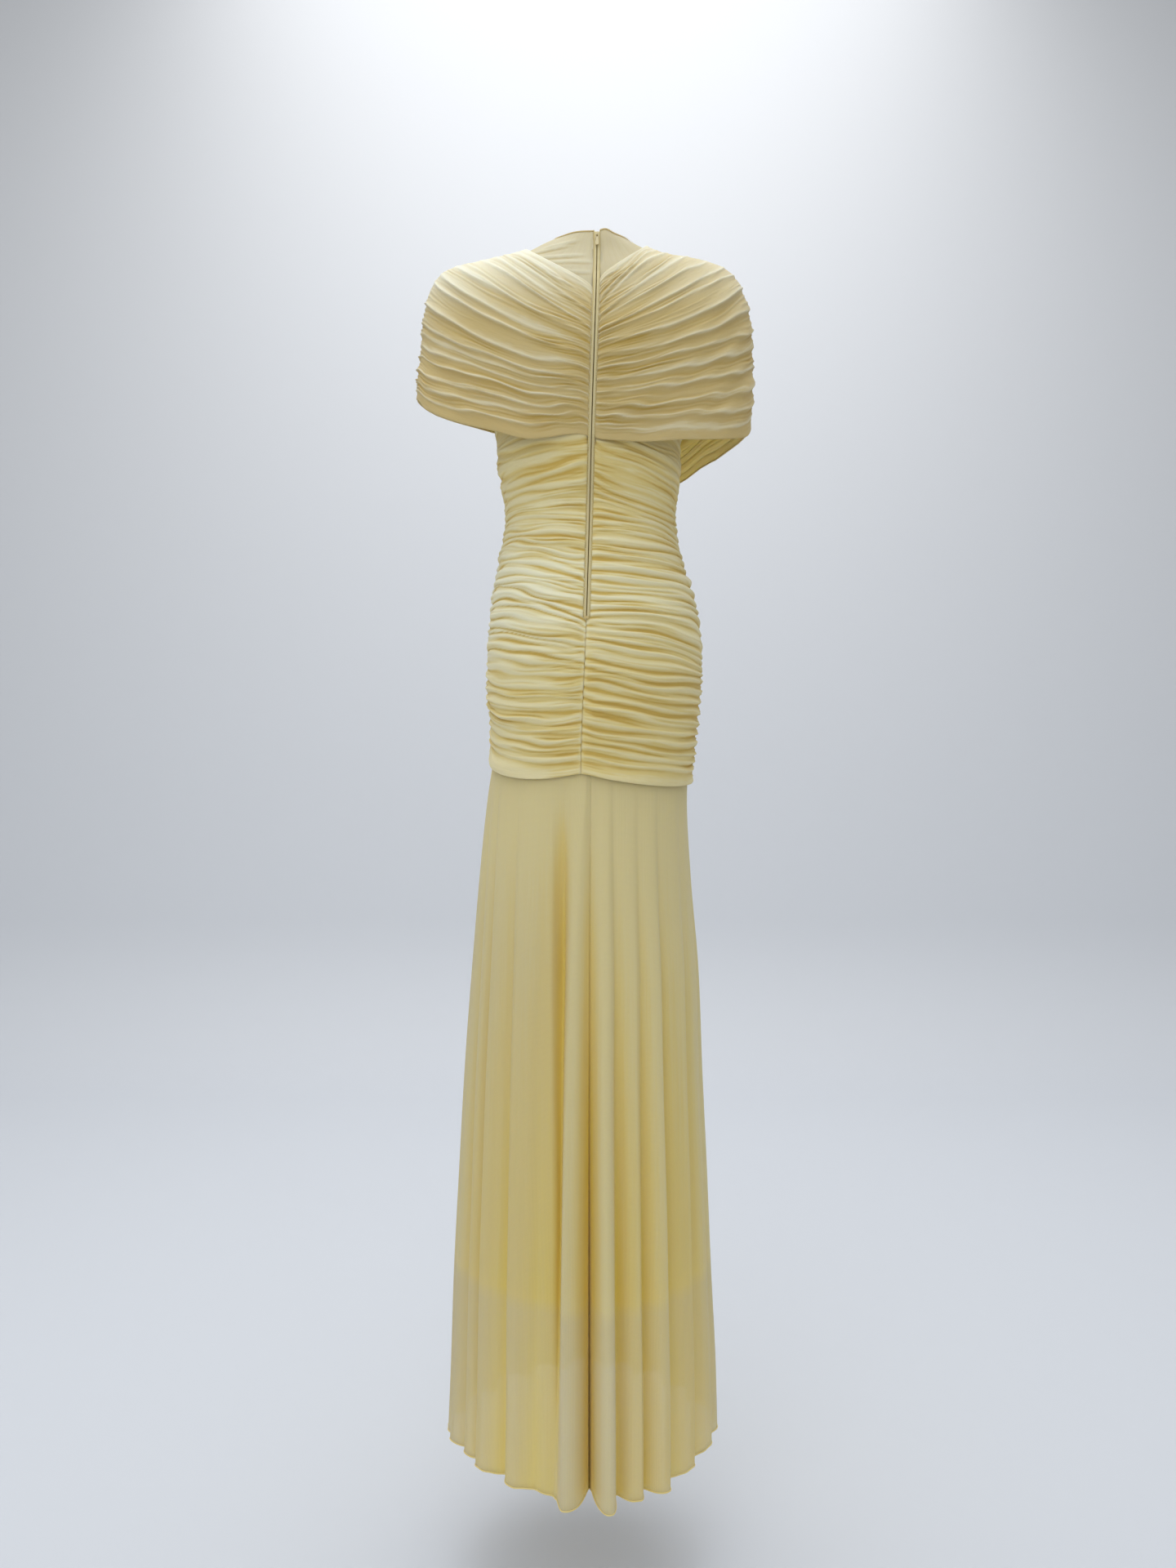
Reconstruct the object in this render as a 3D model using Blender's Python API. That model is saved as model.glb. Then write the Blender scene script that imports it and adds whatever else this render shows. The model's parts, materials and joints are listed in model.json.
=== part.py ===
"""Draped-shoulder maxi dress in semi-sheer stretch mesh, in its worn, hollow shape.

Metres, +Z up. The front faces -Y and the wearer's left is +X. The origin is the
middle of the neck opening at the height of the nape, where the shoulders carry it.

Angles go round the body from the centre back: 0 is the centre back, +90 the wearer's
left side, 180 the centre front and -90 the right side.
"""
import math
from collections import namedtuple

import bmesh
import bpy
import numpy as np

# Driving sizes
HEM_Z = -1.518
HIP_EDGE_Z = -0.675
BODICE_TOP_Z = -0.165
SKIRT_TOP_Z = -0.630
LINING_TOP_Z = -0.660
LINING_HEM_Z = -1.300
ZIP_END_Z = -0.4905

# Walls, gaps and relief
WALL = 0.0012
DRAPE_WALL = 0.0014
LINING_WALL = 0.0010
SEAM_HALF_GAP = 0.00015
SKIRT_CLEARANCE = 0.0023
BODICE_FOLD_HEIGHT = 0.0028
DRAPE_FOLD_HEIGHT = 0.0034
BODICE_FOLDS = 22
DRAPE_FOLDS = 14
BODICE_FOLD_TOP_Z = -0.235

# Zip
WELT_WIDTH = 0.0044
WELT_THICKNESS = 0.0018
WELT_PROUD = 0.0008
ZIP_HALF_GROOVE = 0.0006
ZIP_PANEL_EDGE = ZIP_HALF_GROOVE + WELT_WIDTH + 0.0003
TAPE_WIDTH = 0.0075
TAPE_THICKNESS = 0.0008
TAPE_GAP = 0.0008

# Bodice, inner surface: half widths and depths of each level
BODICE_LEVELS = (
    # z, left, right, back, front
    (-0.165, 0.1335, 0.1295, 0.1010, 0.1080),
    (-0.220, 0.1245, 0.1190, 0.0985, 0.1200),
    (-0.265, 0.1178, 0.1114, 0.0940, 0.1180),
    (-0.297, 0.1135, 0.1104, 0.0890, 0.1080),
    (-0.3445, 0.1067, 0.1051, 0.0765, 0.0880),
    (-0.392, 0.1135, 0.1114, 0.0850, 0.0880),
    (-0.4555, 0.1252, 0.1304, 0.1010, 0.0940),
    (-0.519, 0.1304, 0.1389, 0.1125, 0.0990),
    (-0.551, 0.1315, 0.1389, 0.1145, 0.1000),
    (-0.614, 0.1262, 0.1336, 0.1125, 0.0990),
    (-0.700, 0.1200, 0.1200, 0.1050, 0.0950),
)

# How far a bodice fold that leaves the centre back at z has climbed half way and at the side
BODICE_FOLD_LEAN = (
    # z, left_half, left_side, right_half, right_side
    (-0.165, 0.000, 0.000, 0.000, 0.000),
    (-0.225, -0.004, -0.008, -0.014, -0.030),
    (-0.300, -0.006, -0.012, -0.018, -0.044),
    (-0.380, 0.010, 0.004, -0.012, -0.034),
    (-0.470, 0.014, 0.010, -0.010, -0.028),
    (-0.560, -0.004, 0.006, -0.011, -0.020),
    (-0.675, -0.004, 0.025, -0.015, -0.007),
)
FRONT_FOLD_SAG = 0.012

# Under layer of plain mesh from the neckline to the bodice, inner surface
YOKE_LEVELS = (
    # down, left, right, back, front, z_left, z_right, z_back, z_front, reach
    (0.00, 0.0500, 0.0540, 0.0535, 0.0590, 0.0075, 0.0010, -0.0005, -0.0565, 90),
    (0.25, 0.0980, 0.0980, 0.0665, 0.0765, -0.0130, -0.0150, -0.0370, -0.0785, 90),
    (0.50, 0.1480, 0.1480, 0.0825, 0.0960, -0.0240, -0.0230, -0.0750, -0.1055, 90),
    (0.62, 0.1560, 0.1550, 0.0900, 0.1035, -0.0470, -0.0470, -0.1000, -0.1180, 70),
    (0.80, 0.1480, 0.1450, 0.0975, 0.1070, -0.1000, -0.1000, -0.1320, -0.1380, 60),
    (1.00, 0.1335, 0.1295, 0.1010, 0.1080, -0.1647, -0.1647, -0.1647, -0.1647, 80),
)

# Shoulder drape, inner surface, from the neck to its lower edge
DRAPE_LEVELS = (
    # down, left, right, back, front, z_left, z_right, z_back, z_front
    (0.00, 0.052, 0.0565, 0.0560, 0.0620, 0.0105, 0.0040, 0.0000, -0.0550),
    (0.15, 0.100, 0.1000, 0.0700, 0.0800, -0.0095, -0.0115, -0.0350, -0.0750),
    (0.30, 0.150, 0.1500, 0.0860, 0.1000, -0.0200, -0.0190, -0.0750, -0.1050),
    (0.42, 0.190, 0.1800, 0.0970, 0.1150, -0.0320, -0.0335, -0.1100, -0.1350),
    (0.52, 0.207, 0.1940, 0.1040, 0.1240, -0.0560, -0.0570, -0.1400, -0.1600),
    (0.65, 0.215, 0.2040, 0.1065, 0.1310, -0.0950, -0.1000, -0.1800, -0.1900),
    (0.80, 0.219, 0.2060, 0.1045, 0.1350, -0.1400, -0.1550, -0.2250, -0.2250),
    (1.00, 0.224, 0.2045, 0.0990, 0.1340, -0.1910, -0.2280, -0.2870, -0.2600),
)

# Lower edge of the shoulder drape, and the plain neck stretch above its first fold
DRAPE_EDGE = (
    # angle, z
    (-180, -0.258), (-157, -0.277), (-144, -0.269), (-129, -0.248), (-90, -0.229),
    (-72, -0.2476), (-44, -0.2635), (-34, -0.2670), (-16, -0.2738), (-4, -0.2725), (0, -0.2690),
    (4, -0.2655), (18, -0.2705), (31.5, -0.2580), (45, -0.2440), (67.5, -0.2160), (79, -0.1975),
    (90, -0.191), (120, -0.193), (148, -0.200), (180, -0.258),
)
DrapeStart = namedtuple("DrapeStart", "at_back at_shoulder bend")
DRAPE_START_LEFT = DrapeStart(0.38, 0.08, 0.50)
DRAPE_START_RIGHT = DrapeStart(0.32, 0.02, 0.62)

# Skirt envelope, outer surface of the folds' crests
SKIRT_LEVELS = (
    # z, left, right, back, front
    (-0.630, 0.1245, 0.1300, 0.1100, 0.0970),
    (-0.650, 0.1248, 0.1275, 0.1098, 0.0965),
    (-0.670, 0.1283, 0.1248, 0.1103, 0.0970),
    (-0.709, 0.1342, 0.1237, 0.1130, 0.1000),
    (-0.804, 0.1445, 0.1285, 0.1225, 0.1080),
    (-0.931, 0.1553, 0.1393, 0.1345, 0.1180),
    (-1.058, 0.1650, 0.1448, 0.1455, 0.1290),
    (-1.185, 0.1728, 0.1516, 0.1560, 0.1410),
    (-1.312, 0.1800, 0.1572, 0.1650, 0.1530),
    (-1.438, 0.1850, 0.1630, 0.1730, 0.1640),
    (-1.518, 0.1890, 0.1645, 0.1770, 0.1700),
)
SKIRT_ROWS_Z = (SKIRT_TOP_Z, LINING_TOP_Z, -0.700, -0.790, -0.930, -1.110, LINING_HEM_Z, HEM_Z)

# Skirt folds: how far each crest and valley lies inside the envelope at three levels
FOLD_LEVELS_Z = (-0.670, -0.930, -1.250, HEM_Z)
SKIRT_FOLDS = (
    # angle, high, low, hem (mm)
    (90, 0, 1, 2), (83, 5, 9, 12), (79.5, 2, 4, 6), (72, 12, 20, 26), (67.5, 6, 13, 18),
    (60.5, 15, 26, 33), (56.5, 7, 14, 20), (42.5, 16, 30, 40), (37, 8, 16, 23), (27, 12, 24, 34),
    (21, 14, 24, 30), (14.5, 32, 34, 24), (7.2, 3, 4, 5), (0.8, 20, 48, 62), (-8, 0, 0, 0),
    (-12.5, 12, 30, 40), (-22.5, 5, 10, 14), (-27.5, 12, 27, 36), (-37, 3, 6, 10),
    (-41.5, 12, 25, 34), (-58, 5, 11, 16), (-63.5, 10, 20, 28), (-77, 3, 6, 9), (-84, 5, 9, 11),
    (-90, 0, 0, 0), (-95, 4, 8, 10),
    (-103, 1, 3, 4), (-112, 12, 22, 28), (-122, 3, 6, 8), (-132, 13, 26, 34), (-142, 2, 4, 6),
    (-152, 14, 28, 37), (-162, 3, 6, 9), (-172, 13, 27, 36), (177, 1, 2, 3), (167, 14, 28, 38),
    (157, 3, 6, 8), (147, 13, 26, 35), (137, 2, 4, 5), (126, 12, 24, 32), (115, 4, 8, 10),
    (104, 9, 17, 22), (97, 2, 3, 4), (93, 3, 6, 8),
)

# Centre back line
CENTRE_BACK_X = (
    # z, x
    (0.020, -0.0070), (0.000, -0.0070), (-0.250, -0.0005), (-0.490, 0.0060), (-0.683, 0.0126),
    (-1.000, 0.0090), (-1.518, 0.0035),
)

# Finishes: base colour, roughness
MESH_YELLOW = ((0.80, 0.66, 0.33, 1.0), 0.78)
SHEER_YELLOW = ((0.84, 0.73, 0.42, 1.0), 0.80)
LINING_YELLOW = ((0.78, 0.66, 0.36, 1.0), 0.70)
WELT_YELLOW = ((0.76, 0.63, 0.30, 1.0), 0.72)
TAPE_YELLOW = ((0.80, 0.70, 0.42, 1.0), 0.65)
PAINTED_METAL = ((0.72, 0.60, 0.30, 1.0), 0.35)


class SmoothTable:
    """Smooth curves through the rows of a table, with no overshoot between them."""

    def __init__(self, columns, rows):
        ordered = np.array(sorted(rows), dtype=float)
        self.row = namedtuple("Level", columns)
        self.keys = ordered[:, 0]
        self.values = ordered[:, 1:]
        steps = np.diff(self.keys)[:, None]
        secants = np.diff(self.values, axis=0) / steps
        self.slopes = np.zeros_like(self.values)
        self.slopes[0] = secants[0]
        self.slopes[-1] = secants[-1]
        before = secants[:-1]
        after = secants[1:]
        same_way = before * after > 0
        total = np.where(same_way, before + after, 1.0)
        self.slopes[1:-1] = np.where(same_way, 2 * before * after / total, 0.0)

    def at(self, key):
        """Row of values at any place along the table."""
        key = min(max(key, self.keys[0]), self.keys[-1])
        index = int(np.searchsorted(self.keys, key)) - 1
        index = min(max(index, 0), len(self.keys) - 2)
        step = self.keys[index + 1] - self.keys[index]
        f = (key - self.keys[index]) / step
        start = self.values[index] * (1 + 2 * f) * (1 - f) ** 2
        end = self.values[index + 1] * f * f * (3 - 2 * f)
        start_slope = self.slopes[index] * step * f * (1 - f) ** 2
        end_slope = self.slopes[index + 1] * step * f * f * (f - 1)
        return self.row(*(start + end + start_slope + end_slope))


BODICE = SmoothTable("left right back front", BODICE_LEVELS)
LEAN = SmoothTable("left_half left_side right_half right_side", BODICE_FOLD_LEAN)
YOKE = SmoothTable("left right back front z_left z_right z_back z_front reach", YOKE_LEVELS)
DRAPE = SmoothTable("left right back front z_left z_right z_back z_front", DRAPE_LEVELS)
EDGE = SmoothTable("z", DRAPE_EDGE)
SKIRT = SmoothTable("left right back front", SKIRT_LEVELS)
CENTRE = SmoothTable("x", CENTRE_BACK_X)

LEFT, RIGHT = 1, -1


def smooth_step(value):
    """Ease from 0 to 1 with flat ends."""
    value = min(max(value, 0.0), 1.0)
    return value * value * (3 - 2 * value)


def plan_point(level, angle):
    """Point of a level's oval outline, seen from above."""
    side = math.sin(math.radians(angle))
    back = math.cos(math.radians(angle))
    half_width = level.left if side > 0 else level.right
    depth = level.back if back > 0 else level.front
    return half_width * side, depth * back


def plan_normal(level, angle):
    """Outward direction of a level's oval outline, seen from above."""
    side = math.sin(math.radians(angle))
    back = math.cos(math.radians(angle))
    half_width = level.left if side > 0 else level.right
    depth = level.back if back > 0 else level.front
    normal = np.array((side / half_width, back / depth))
    return normal / np.linalg.norm(normal)


def level_height(level, angle):
    """Height of a level that runs over the shoulder and down the back and front."""
    side = math.sin(math.radians(angle))
    back = math.cos(math.radians(angle))
    z_side = level.z_left if side > 0 else level.z_right
    z_middle = level.z_back if back > 0 else level.z_front
    return z_side * side * side + z_middle * back * back


def centre_angle(level, z):
    """Angle at which the centre back line crosses a level."""
    x = CENTRE.at(z).x
    half_width = level.left if x > 0 else level.right
    return math.degrees(math.asin(x / half_width))


def bodice_level(z):
    """Bodice outline at a height, always clear outside the skirt's top."""
    level = BODICE.at(z)
    if z > -0.600:
        return level
    skirt = SKIRT.at(z)
    return level._make(max(own, other + SKIRT_CLEARANCE) for own, other in zip(level, skirt))


def bodice_point(angle, z):
    """Inner surface of the bodice."""
    x, y = plan_point(bodice_level(z), angle)
    return np.array((x, y, z))


def yoke_point(angle, down):
    """Inner surface of the plain under layer."""
    level = YOKE.at(down)
    x, y = plan_point(level, angle)
    return np.array((x, y, level_height(level, angle)))


def drape_point(angle, down):
    """Inner surface of the shoulder drape, whose lower edge follows its own line."""
    level = DRAPE.at(down)
    x, y = plan_point(level, angle)
    turned = (angle + 180) % 360 - 180
    edge_shift = EDGE.at(turned).z - level_height(DRAPE.at(1.0), angle)
    z = level_height(level, angle) + edge_shift * smooth_step((down - 0.4) / 0.6)
    return np.array((x, y, z))


def fold_rows(start, end, count):
    """Places along a run of uneven folds, with the height of the relief at each (0 to 1)."""
    widths = [1 + 0.28 * math.sin(2.3 * i) + 0.16 * math.sin(5.1 * i) for i in range(count)]
    edges = np.concatenate(([0.0], np.cumsum(widths))) / sum(widths)
    rows = []
    for fold in range(count):
        low, high = edges[fold], edges[fold + 1]
        for share, height in ((0.0, 0.0), (0.34, 1.0), (0.66, 0.85)):
            place = low + (high - low) * share
            rows.append((start + (end - start) * place, height * (0.8 + 0.2 * math.cos(1.7 * fold))))
    rows.append((end, 0.0))
    return rows


def surface_normal(surface, across, down, step=0.002):
    """Outward normal of a surface given by two places on it."""
    before = surface(across - step, down)
    after = surface(across + step, down)
    above = surface(across, down - step)
    below = surface(across, down + step)
    normal = np.cross(after - before, below - above)
    normal /= np.linalg.norm(normal)
    middle = (before + after) / 2
    outward = np.array((middle[0], middle[1], 0.03))
    return normal if np.dot(normal, outward) > 0 else -normal


def make_material(name, finish):
    """Principled material in one of the dress's finishes."""
    colour, roughness = finish
    material = bpy.data.materials.new(name)
    material.use_nodes = True
    shader = material.node_tree.nodes["Principled BSDF"]
    shader.inputs["Base Color"].default_value = colour
    shader.inputs["Roughness"].default_value = roughness
    shader.inputs["Metallic"].default_value = 0.0
    material.diffuse_color = colour
    return material


def add_object(name, bm, finish, sharp_angle=40):
    """Turn a finished bmesh into a named object, shaded smooth up to an angle."""
    bmesh.ops.recalc_face_normals(bm, faces=bm.faces)
    mesh = bpy.data.meshes.new(name)
    bm.to_mesh(mesh)
    bm.free()
    mesh.shade_smooth()
    mesh.set_sharp_from_angle(angle=math.radians(sharp_angle))
    mesh.materials.append(make_material(name, finish))
    obj = bpy.data.objects.new(name, mesh)
    bpy.context.scene.collection.objects.link(obj)
    return obj


def line_places(line):
    """Share of its length at which each vertex of a line stands."""
    lengths = [(b.co - a.co).length for a, b in zip(line, line[1:])]
    total = sum(lengths)
    places = [0.0]
    for length in lengths:
        places.append(places[-1] + length / total)
    return places


def close_edge(bm, first, second):
    """Strip of triangles between two lines of vertices that may have different counts."""
    first_places = line_places(first)
    second_places = line_places(second)
    i = 0
    j = 0
    while i < len(first) - 1 or j < len(second) - 1:
        next_first = first_places[i + 1] if i < len(first) - 1 else 2.0
        next_second = second_places[j + 1] if j < len(second) - 1 else 2.0
        if next_first <= next_second:
            bm.faces.new((first[i], first[i + 1], second[j]))
            i += 1
        else:
            bm.faces.new((first[i], second[j + 1], second[j]))
            j += 1


def add_grid(bm, rows, closed):
    """Quads over a grid of points, closed into a tube or open at its sides."""
    grid = [[bm.verts.new(point) for point in row] for row in rows]
    count = len(grid[0])
    last = count if closed else count - 1
    for upper, lower in zip(grid, grid[1:]):
        for i in range(last):
            k = (i + 1) % count
            bm.faces.new((upper[i], upper[k], lower[k], lower[i]))
    return grid


def cloth_wall(name, outer_rows, inner_rows, finish, closed=False):
    """Closed wall of cloth between an outer and an inner grid of points."""
    bm = bmesh.new()
    outer = add_grid(bm, outer_rows, closed)
    inner = add_grid(bm, inner_rows, closed)
    for outer_edge, inner_edge in ((outer[0], inner[0]), (outer[-1], inner[-1])):
        if closed:
            outer_edge = outer_edge + outer_edge[:1]
            inner_edge = inner_edge + inner_edge[:1]
        close_edge(bm, outer_edge, inner_edge)
    if not closed:
        for side in (0, -1):
            close_edge(bm, [row[side] for row in outer], [row[side] for row in inner])
    return add_object(name, bm, finish)


def centre_half_gap(z):
    """Distance from the centre back line to a panel's edge: wide at the zip, a seam below it."""
    return ZIP_PANEL_EDGE if z > ZIP_END_Z - 0.0025 else SEAM_HALF_GAP


def trim_back(point, side, on_centre):
    """Hold a back panel to its side of the side seam and of the centre back."""
    x, y, z = point
    centre = CENTRE.at(z).x + side * centre_half_gap(z)
    if on_centre:
        x = centre
    return np.array((x, max(y, SEAM_HALF_GAP), z))


def trim_front(point):
    """Hold a front panel to its side of the side seams."""
    return np.array((point[0], min(point[1], -SEAM_HALF_GAP), point[2]))


def back_columns(count):
    """Places across a back half, from the centre back to the side seam."""
    return [0.0, 0.07] + [0.07 + 0.93 * i / (count - 1) for i in range(1, count)]


def front_columns(count):
    """Places across the front, from the left side seam to the right one."""
    return [i / count for i in range(count + 1)]


def lean_at(z, across, side):
    """How far a fold of one back half has climbed on its way to the side."""
    lean = LEAN.at(z)
    half = lean.left_half if side == LEFT else lean.right_half
    full = lean.left_side if side == LEFT else lean.right_side
    return 4 * half * across * (1 - across) + full * across * (2 * across - 1)


def bodice_back_surface(side):
    """Surface of a back half by places across and by the height at the centre back."""
    def surface(across, z):
        height = z + lean_at(z, across, side)
        start = centre_angle(bodice_level(height), height)
        return bodice_point(start + (side * 90 - start) * across, height)
    return surface


def bodice_front_surface(across, z):
    """Surface of the front, whose folds join those of the two sides."""
    lean = LEAN.at(z)
    fade = smooth_step((BODICE_TOP_Z - z) / 0.06)
    height = z + lean.left_side + (lean.right_side - lean.left_side) * across
    height -= FRONT_FOLD_SAG * fade * math.sin(math.pi * across)
    return bodice_point(90 + 180 * across, height)


def drape_back_surface(side, start):
    """Surface of a back half of the shoulder drape, from its first fold to its edge."""
    def surface(across, down):
        slope = max(across, 0.0) ** start.bend
        top = start.at_shoulder + (start.at_back - start.at_shoulder) * (1 - slope)
        place = top + (1 - top) * down
        centre = centre_angle(DRAPE.at(place), drape_point(0, place)[2])
        return drape_point(centre + (side * 90 - centre) * across, place)
    return surface


def drape_front_surface(across, down):
    """Surface of the front of the shoulder drape."""
    start = DRAPE_START_LEFT.at_shoulder
    end = DRAPE_START_RIGHT.at_shoulder
    top = start + (end - start) * across
    return drape_point(90 + 180 * across, top + (1 - top) * down)


def ruched_wall(name, surface, columns, rows, wall, height, trim, finish, calm_centre):
    """Wall whose outer points stand out in folds over a plain inner surface."""
    outer_rows = []
    inner_rows = []
    for down, relief in rows:
        outer_row = []
        inner_row = []
        for across in columns:
            point = surface(across, down)
            normal = surface_normal(surface, across, down)
            calm = smooth_step(across / 0.07) if calm_centre else 1.0
            lift = wall + height * relief * calm * (0.85 + 0.15 * math.sin(9 * across + 40 * down))
            outer_row.append(trim(point + normal * lift, across))
            inner_row.append(trim(point, across))
        outer_rows.append(outer_row)
        if relief == 0.0:
            inner_rows.append(inner_row)
    return cloth_wall(name, outer_rows, inner_rows, finish)


def bodice_rows():
    """Heights of the bodice's rows at the centre back, with one at the foot of the zip."""
    rows = fold_rows(HIP_EDGE_Z, BODICE_FOLD_TOP_Z, BODICE_FOLDS)
    valleys = [i for i, row in enumerate(rows) if row[1] == 0.0]
    foot = min(valleys, key=lambda i: abs(rows[i][0] - ZIP_END_Z))
    rows[foot] = (ZIP_END_Z - 0.002, 0.0)
    rows += [(BODICE_FOLD_TOP_Z + (BODICE_TOP_Z - BODICE_FOLD_TOP_Z) * f, 0.0) for f in (0.5, 1.0)]
    return rows


def make_bodice():
    """Ruched bodice: two back halves and a front."""
    rows = bodice_rows()
    for name, side in (("back_left", LEFT), ("back_right", RIGHT)):
        def trim(point, across, side=side):
            return trim_back(point, side, across == 0.0)
        ruched_wall(name, bodice_back_surface(side), back_columns(8), rows, WALL,
                    BODICE_FOLD_HEIGHT, trim, MESH_YELLOW, True)
    ruched_wall("front", bodice_front_surface, front_columns(11), rows, WALL,
                BODICE_FOLD_HEIGHT, lambda point, across: trim_front(point), MESH_YELLOW, False)


def make_drape():
    """Gathered drape over both shoulders: two back halves and a front."""
    rows = fold_rows(0.0, 1.0, DRAPE_FOLDS)
    halves = (("drape_back_left", LEFT, DRAPE_START_LEFT),
              ("drape_back_right", RIGHT, DRAPE_START_RIGHT))
    for name, side, start in halves:
        def trim(point, across, side=side):
            return trim_back(point, side, across == 0.0)
        ruched_wall(name, drape_back_surface(side, start), back_columns(8), rows, DRAPE_WALL,
                    DRAPE_FOLD_HEIGHT, trim, MESH_YELLOW, True)
    ruched_wall("drape_front", drape_front_surface, front_columns(14), rows, DRAPE_WALL,
                DRAPE_FOLD_HEIGHT, lambda point, across: trim_front(point), MESH_YELLOW, False)


def make_yoke():
    """Plain under layer with the neckline and armholes: two back halves and a front."""
    downs = (0.0, 0.08, 0.16, 0.25, 0.34, 0.42, 0.5, 0.56, 0.62, 0.70, 0.80, 0.90, 1.0)

    def back_surface(side):
        def surface(across, down):
            level = YOKE.at(down)
            centre = centre_angle(level, level.z_back)
            return yoke_point(centre + (side * level.reach - centre) * across, down)
        return surface

    def front_surface(across, down):
        reach = YOKE.at(down).reach
        return yoke_point(180 - reach + 2 * reach * across, down)

    for name, side in (("yoke_left", LEFT), ("yoke_right", RIGHT)):
        def trim(point, across, side=side):
            return trim_back(point, side, across == 0.0)
        plain_wall(name, back_surface(side), back_columns(6), downs, trim)
    plain_wall("yoke_front", front_surface, front_columns(9), downs,
               lambda point, across: trim_front(point))


def plain_wall(name, surface, columns, downs, trim):
    """Wall of plain mesh."""
    outer_rows = []
    inner_rows = []
    for down in downs:
        normals = [surface_normal(surface, across, min(max(down, 0.01), 0.99)) for across in columns]
        points = [surface(across, down) for across in columns]
        outer_rows.append([trim(point + normal * WALL, across)
                           for point, normal, across in zip(points, normals, columns)])
        inner_rows.append([trim(point, across) for point, across in zip(points, columns)])
    return cloth_wall(name, outer_rows, inner_rows, SHEER_YELLOW)


def fold_inset(row, z):
    """Distance from the envelope of one crest or valley at a height."""
    levels = SmoothTable("inset", list(zip(FOLD_LEVELS_Z, (0.0,) + tuple(row[1:]))))
    return levels.at(z).inset / 1000


def skirt_columns():
    """Angles round the skirt, each with its crest, valley and place between them."""
    columns = []
    count = len(SKIRT_FOLDS)
    for i, row in enumerate(SKIRT_FOLDS):
        following = SKIRT_FOLDS[(i + 1) % count]
        span = (following[0] - row[0] + 180) % 360 - 180
        depth = abs(following[3] - row[3])
        shares = (0.0, 0.5) if depth < 9 else (0.0, 0.36, 0.70)
        if depth > 35:
            shares = (0.0, 0.28, 0.56, 0.80)
        leaves_crest = row[3] < following[3]
        for share in shares:
            from_crest = share if leaves_crest or share == 0.0 else 1 - shares[-shares.index(share)]
            place = from_crest
            angle = row[0] + span * place
            rise = place ** 1.9 if leaves_crest else 1 - (1 - place) ** 1.9
            columns.append((angle, row, following, rise))
    return columns


def skirt_inset(column, z):
    """Distance from the envelope of a place between a crest and a valley."""
    angle, row, following, rise = column
    start = fold_inset(row, z)
    return start + (fold_inset(following, z) - start) * rise


def skirt_outline(columns, z):
    """Outer line of the skirt at a height, with its folds."""
    level = SKIRT.at(z)
    points = []
    for column in columns:
        x, y = plan_point(level, column[0])
        normal = plan_normal(level, column[0])
        points.append(np.array((x, y)) - normal * skirt_inset(column, z))
    return points


def inner_outline(points, wall):
    """Line inside a closed outline by the thickness of a wall, measured square to it."""
    count = len(points)
    inner = []
    for i in range(count):
        before = points[i] - points[i - 1]
        after = points[(i + 1) % count] - points[i]
        tangent = before / np.linalg.norm(before) + after / np.linalg.norm(after)
        tangent /= np.linalg.norm(tangent)
        inner.append(points[i] + np.array((-tangent[1], tangent[0])) * wall)
    return inner


def make_skirt():
    """Flared skirt with deep soft folds: two back halves and a front."""
    columns = skirt_columns()
    outer = [skirt_outline(columns, z) for z in SKIRT_ROWS_Z]
    inner = [inner_outline(line, WALL) for line in outer]
    direction = inner[0][0] - outer[0][0]
    if np.dot(direction, outer[0][0]) > 0:
        inner = [inner_outline(line, -WALL) for line in outer]
    angles = [column[0] for column in columns]
    left_side = angles.index(90)
    centre_back = angles.index(0.8)
    right_side = angles.index(-90)
    spans = (("skirt_back_left", left_side, centre_back),
             ("skirt_back_right", centre_back, right_side),
             ("skirt_front", right_side, left_side + len(columns)))
    for name, first, last in spans:
        order = [i % len(columns) for i in range(first, last + 1)]
        walls = []
        for lines in (outer, inner):
            rows = []
            for z, line in zip(SKIRT_ROWS_Z, lines):
                points = [np.array((line[i][0], line[i][1], z)) for i in order]
                rows.append(part_at_seams(points))
            walls.append(rows)
        cloth_wall(name, walls[0], walls[1], SHEER_YELLOW)


def part_at_seams(points):
    """Draw the two ends of a row back from its seams by half the gap."""
    for end, neighbour in ((0, 1), (-1, -2)):
        along = points[neighbour] - points[end]
        along[2] = 0.0
        points[end] = points[end] + along / np.linalg.norm(along) * SEAM_HALF_GAP
    return points


def make_lining():
    """Lining tube that hangs inside the skirt to the knee."""
    columns = skirt_columns()
    rows_z = SKIRT_ROWS_Z[1:-1]
    angles = [column[0] for column in columns]
    around = [10 * i for i in range(36)]
    outer_rows = []
    inner_rows = []
    for z in rows_z:
        level = SKIRT.at(z)
        insets = [skirt_inset(column, z) for column in columns]
        outer_row = []
        inner_row = []
        for angle in around:
            deepest = max(inset for place, inset in zip(angles, insets)
                          if abs((place - angle + 180) % 360 - 180) <= 13)
            ease = 0.0045 * smooth_step((LINING_TOP_Z - z) / 0.12)
            inset = deepest + WALL + 0.0007 + ease
            normal = plan_normal(level, angle)
            x, y = np.array(plan_point(level, angle)) - normal * inset
            outer_row.append((x, y, z))
            inner_row.append((x - normal[0] * LINING_WALL, y - normal[1] * LINING_WALL, z))
        outer_rows.append(outer_row)
        inner_rows.append(inner_row)
    cloth_wall("lining", outer_rows, inner_rows, LINING_YELLOW, closed=True)


def depth_behind(levels, point, x, z):
    """Depth of a layer's inner surface at a place across the back and a height."""
    low, high = 0.0, 1.0
    for _ in range(40):
        down = (low + high) / 2
        level = levels.at(down)
        half_width = level.left if x > 0 else level.right
        angle = math.degrees(math.asin(x / half_width))
        place = point(angle, down)
        if place[2] > z:
            low = down
        else:
            high = down
    return place[1]


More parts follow.
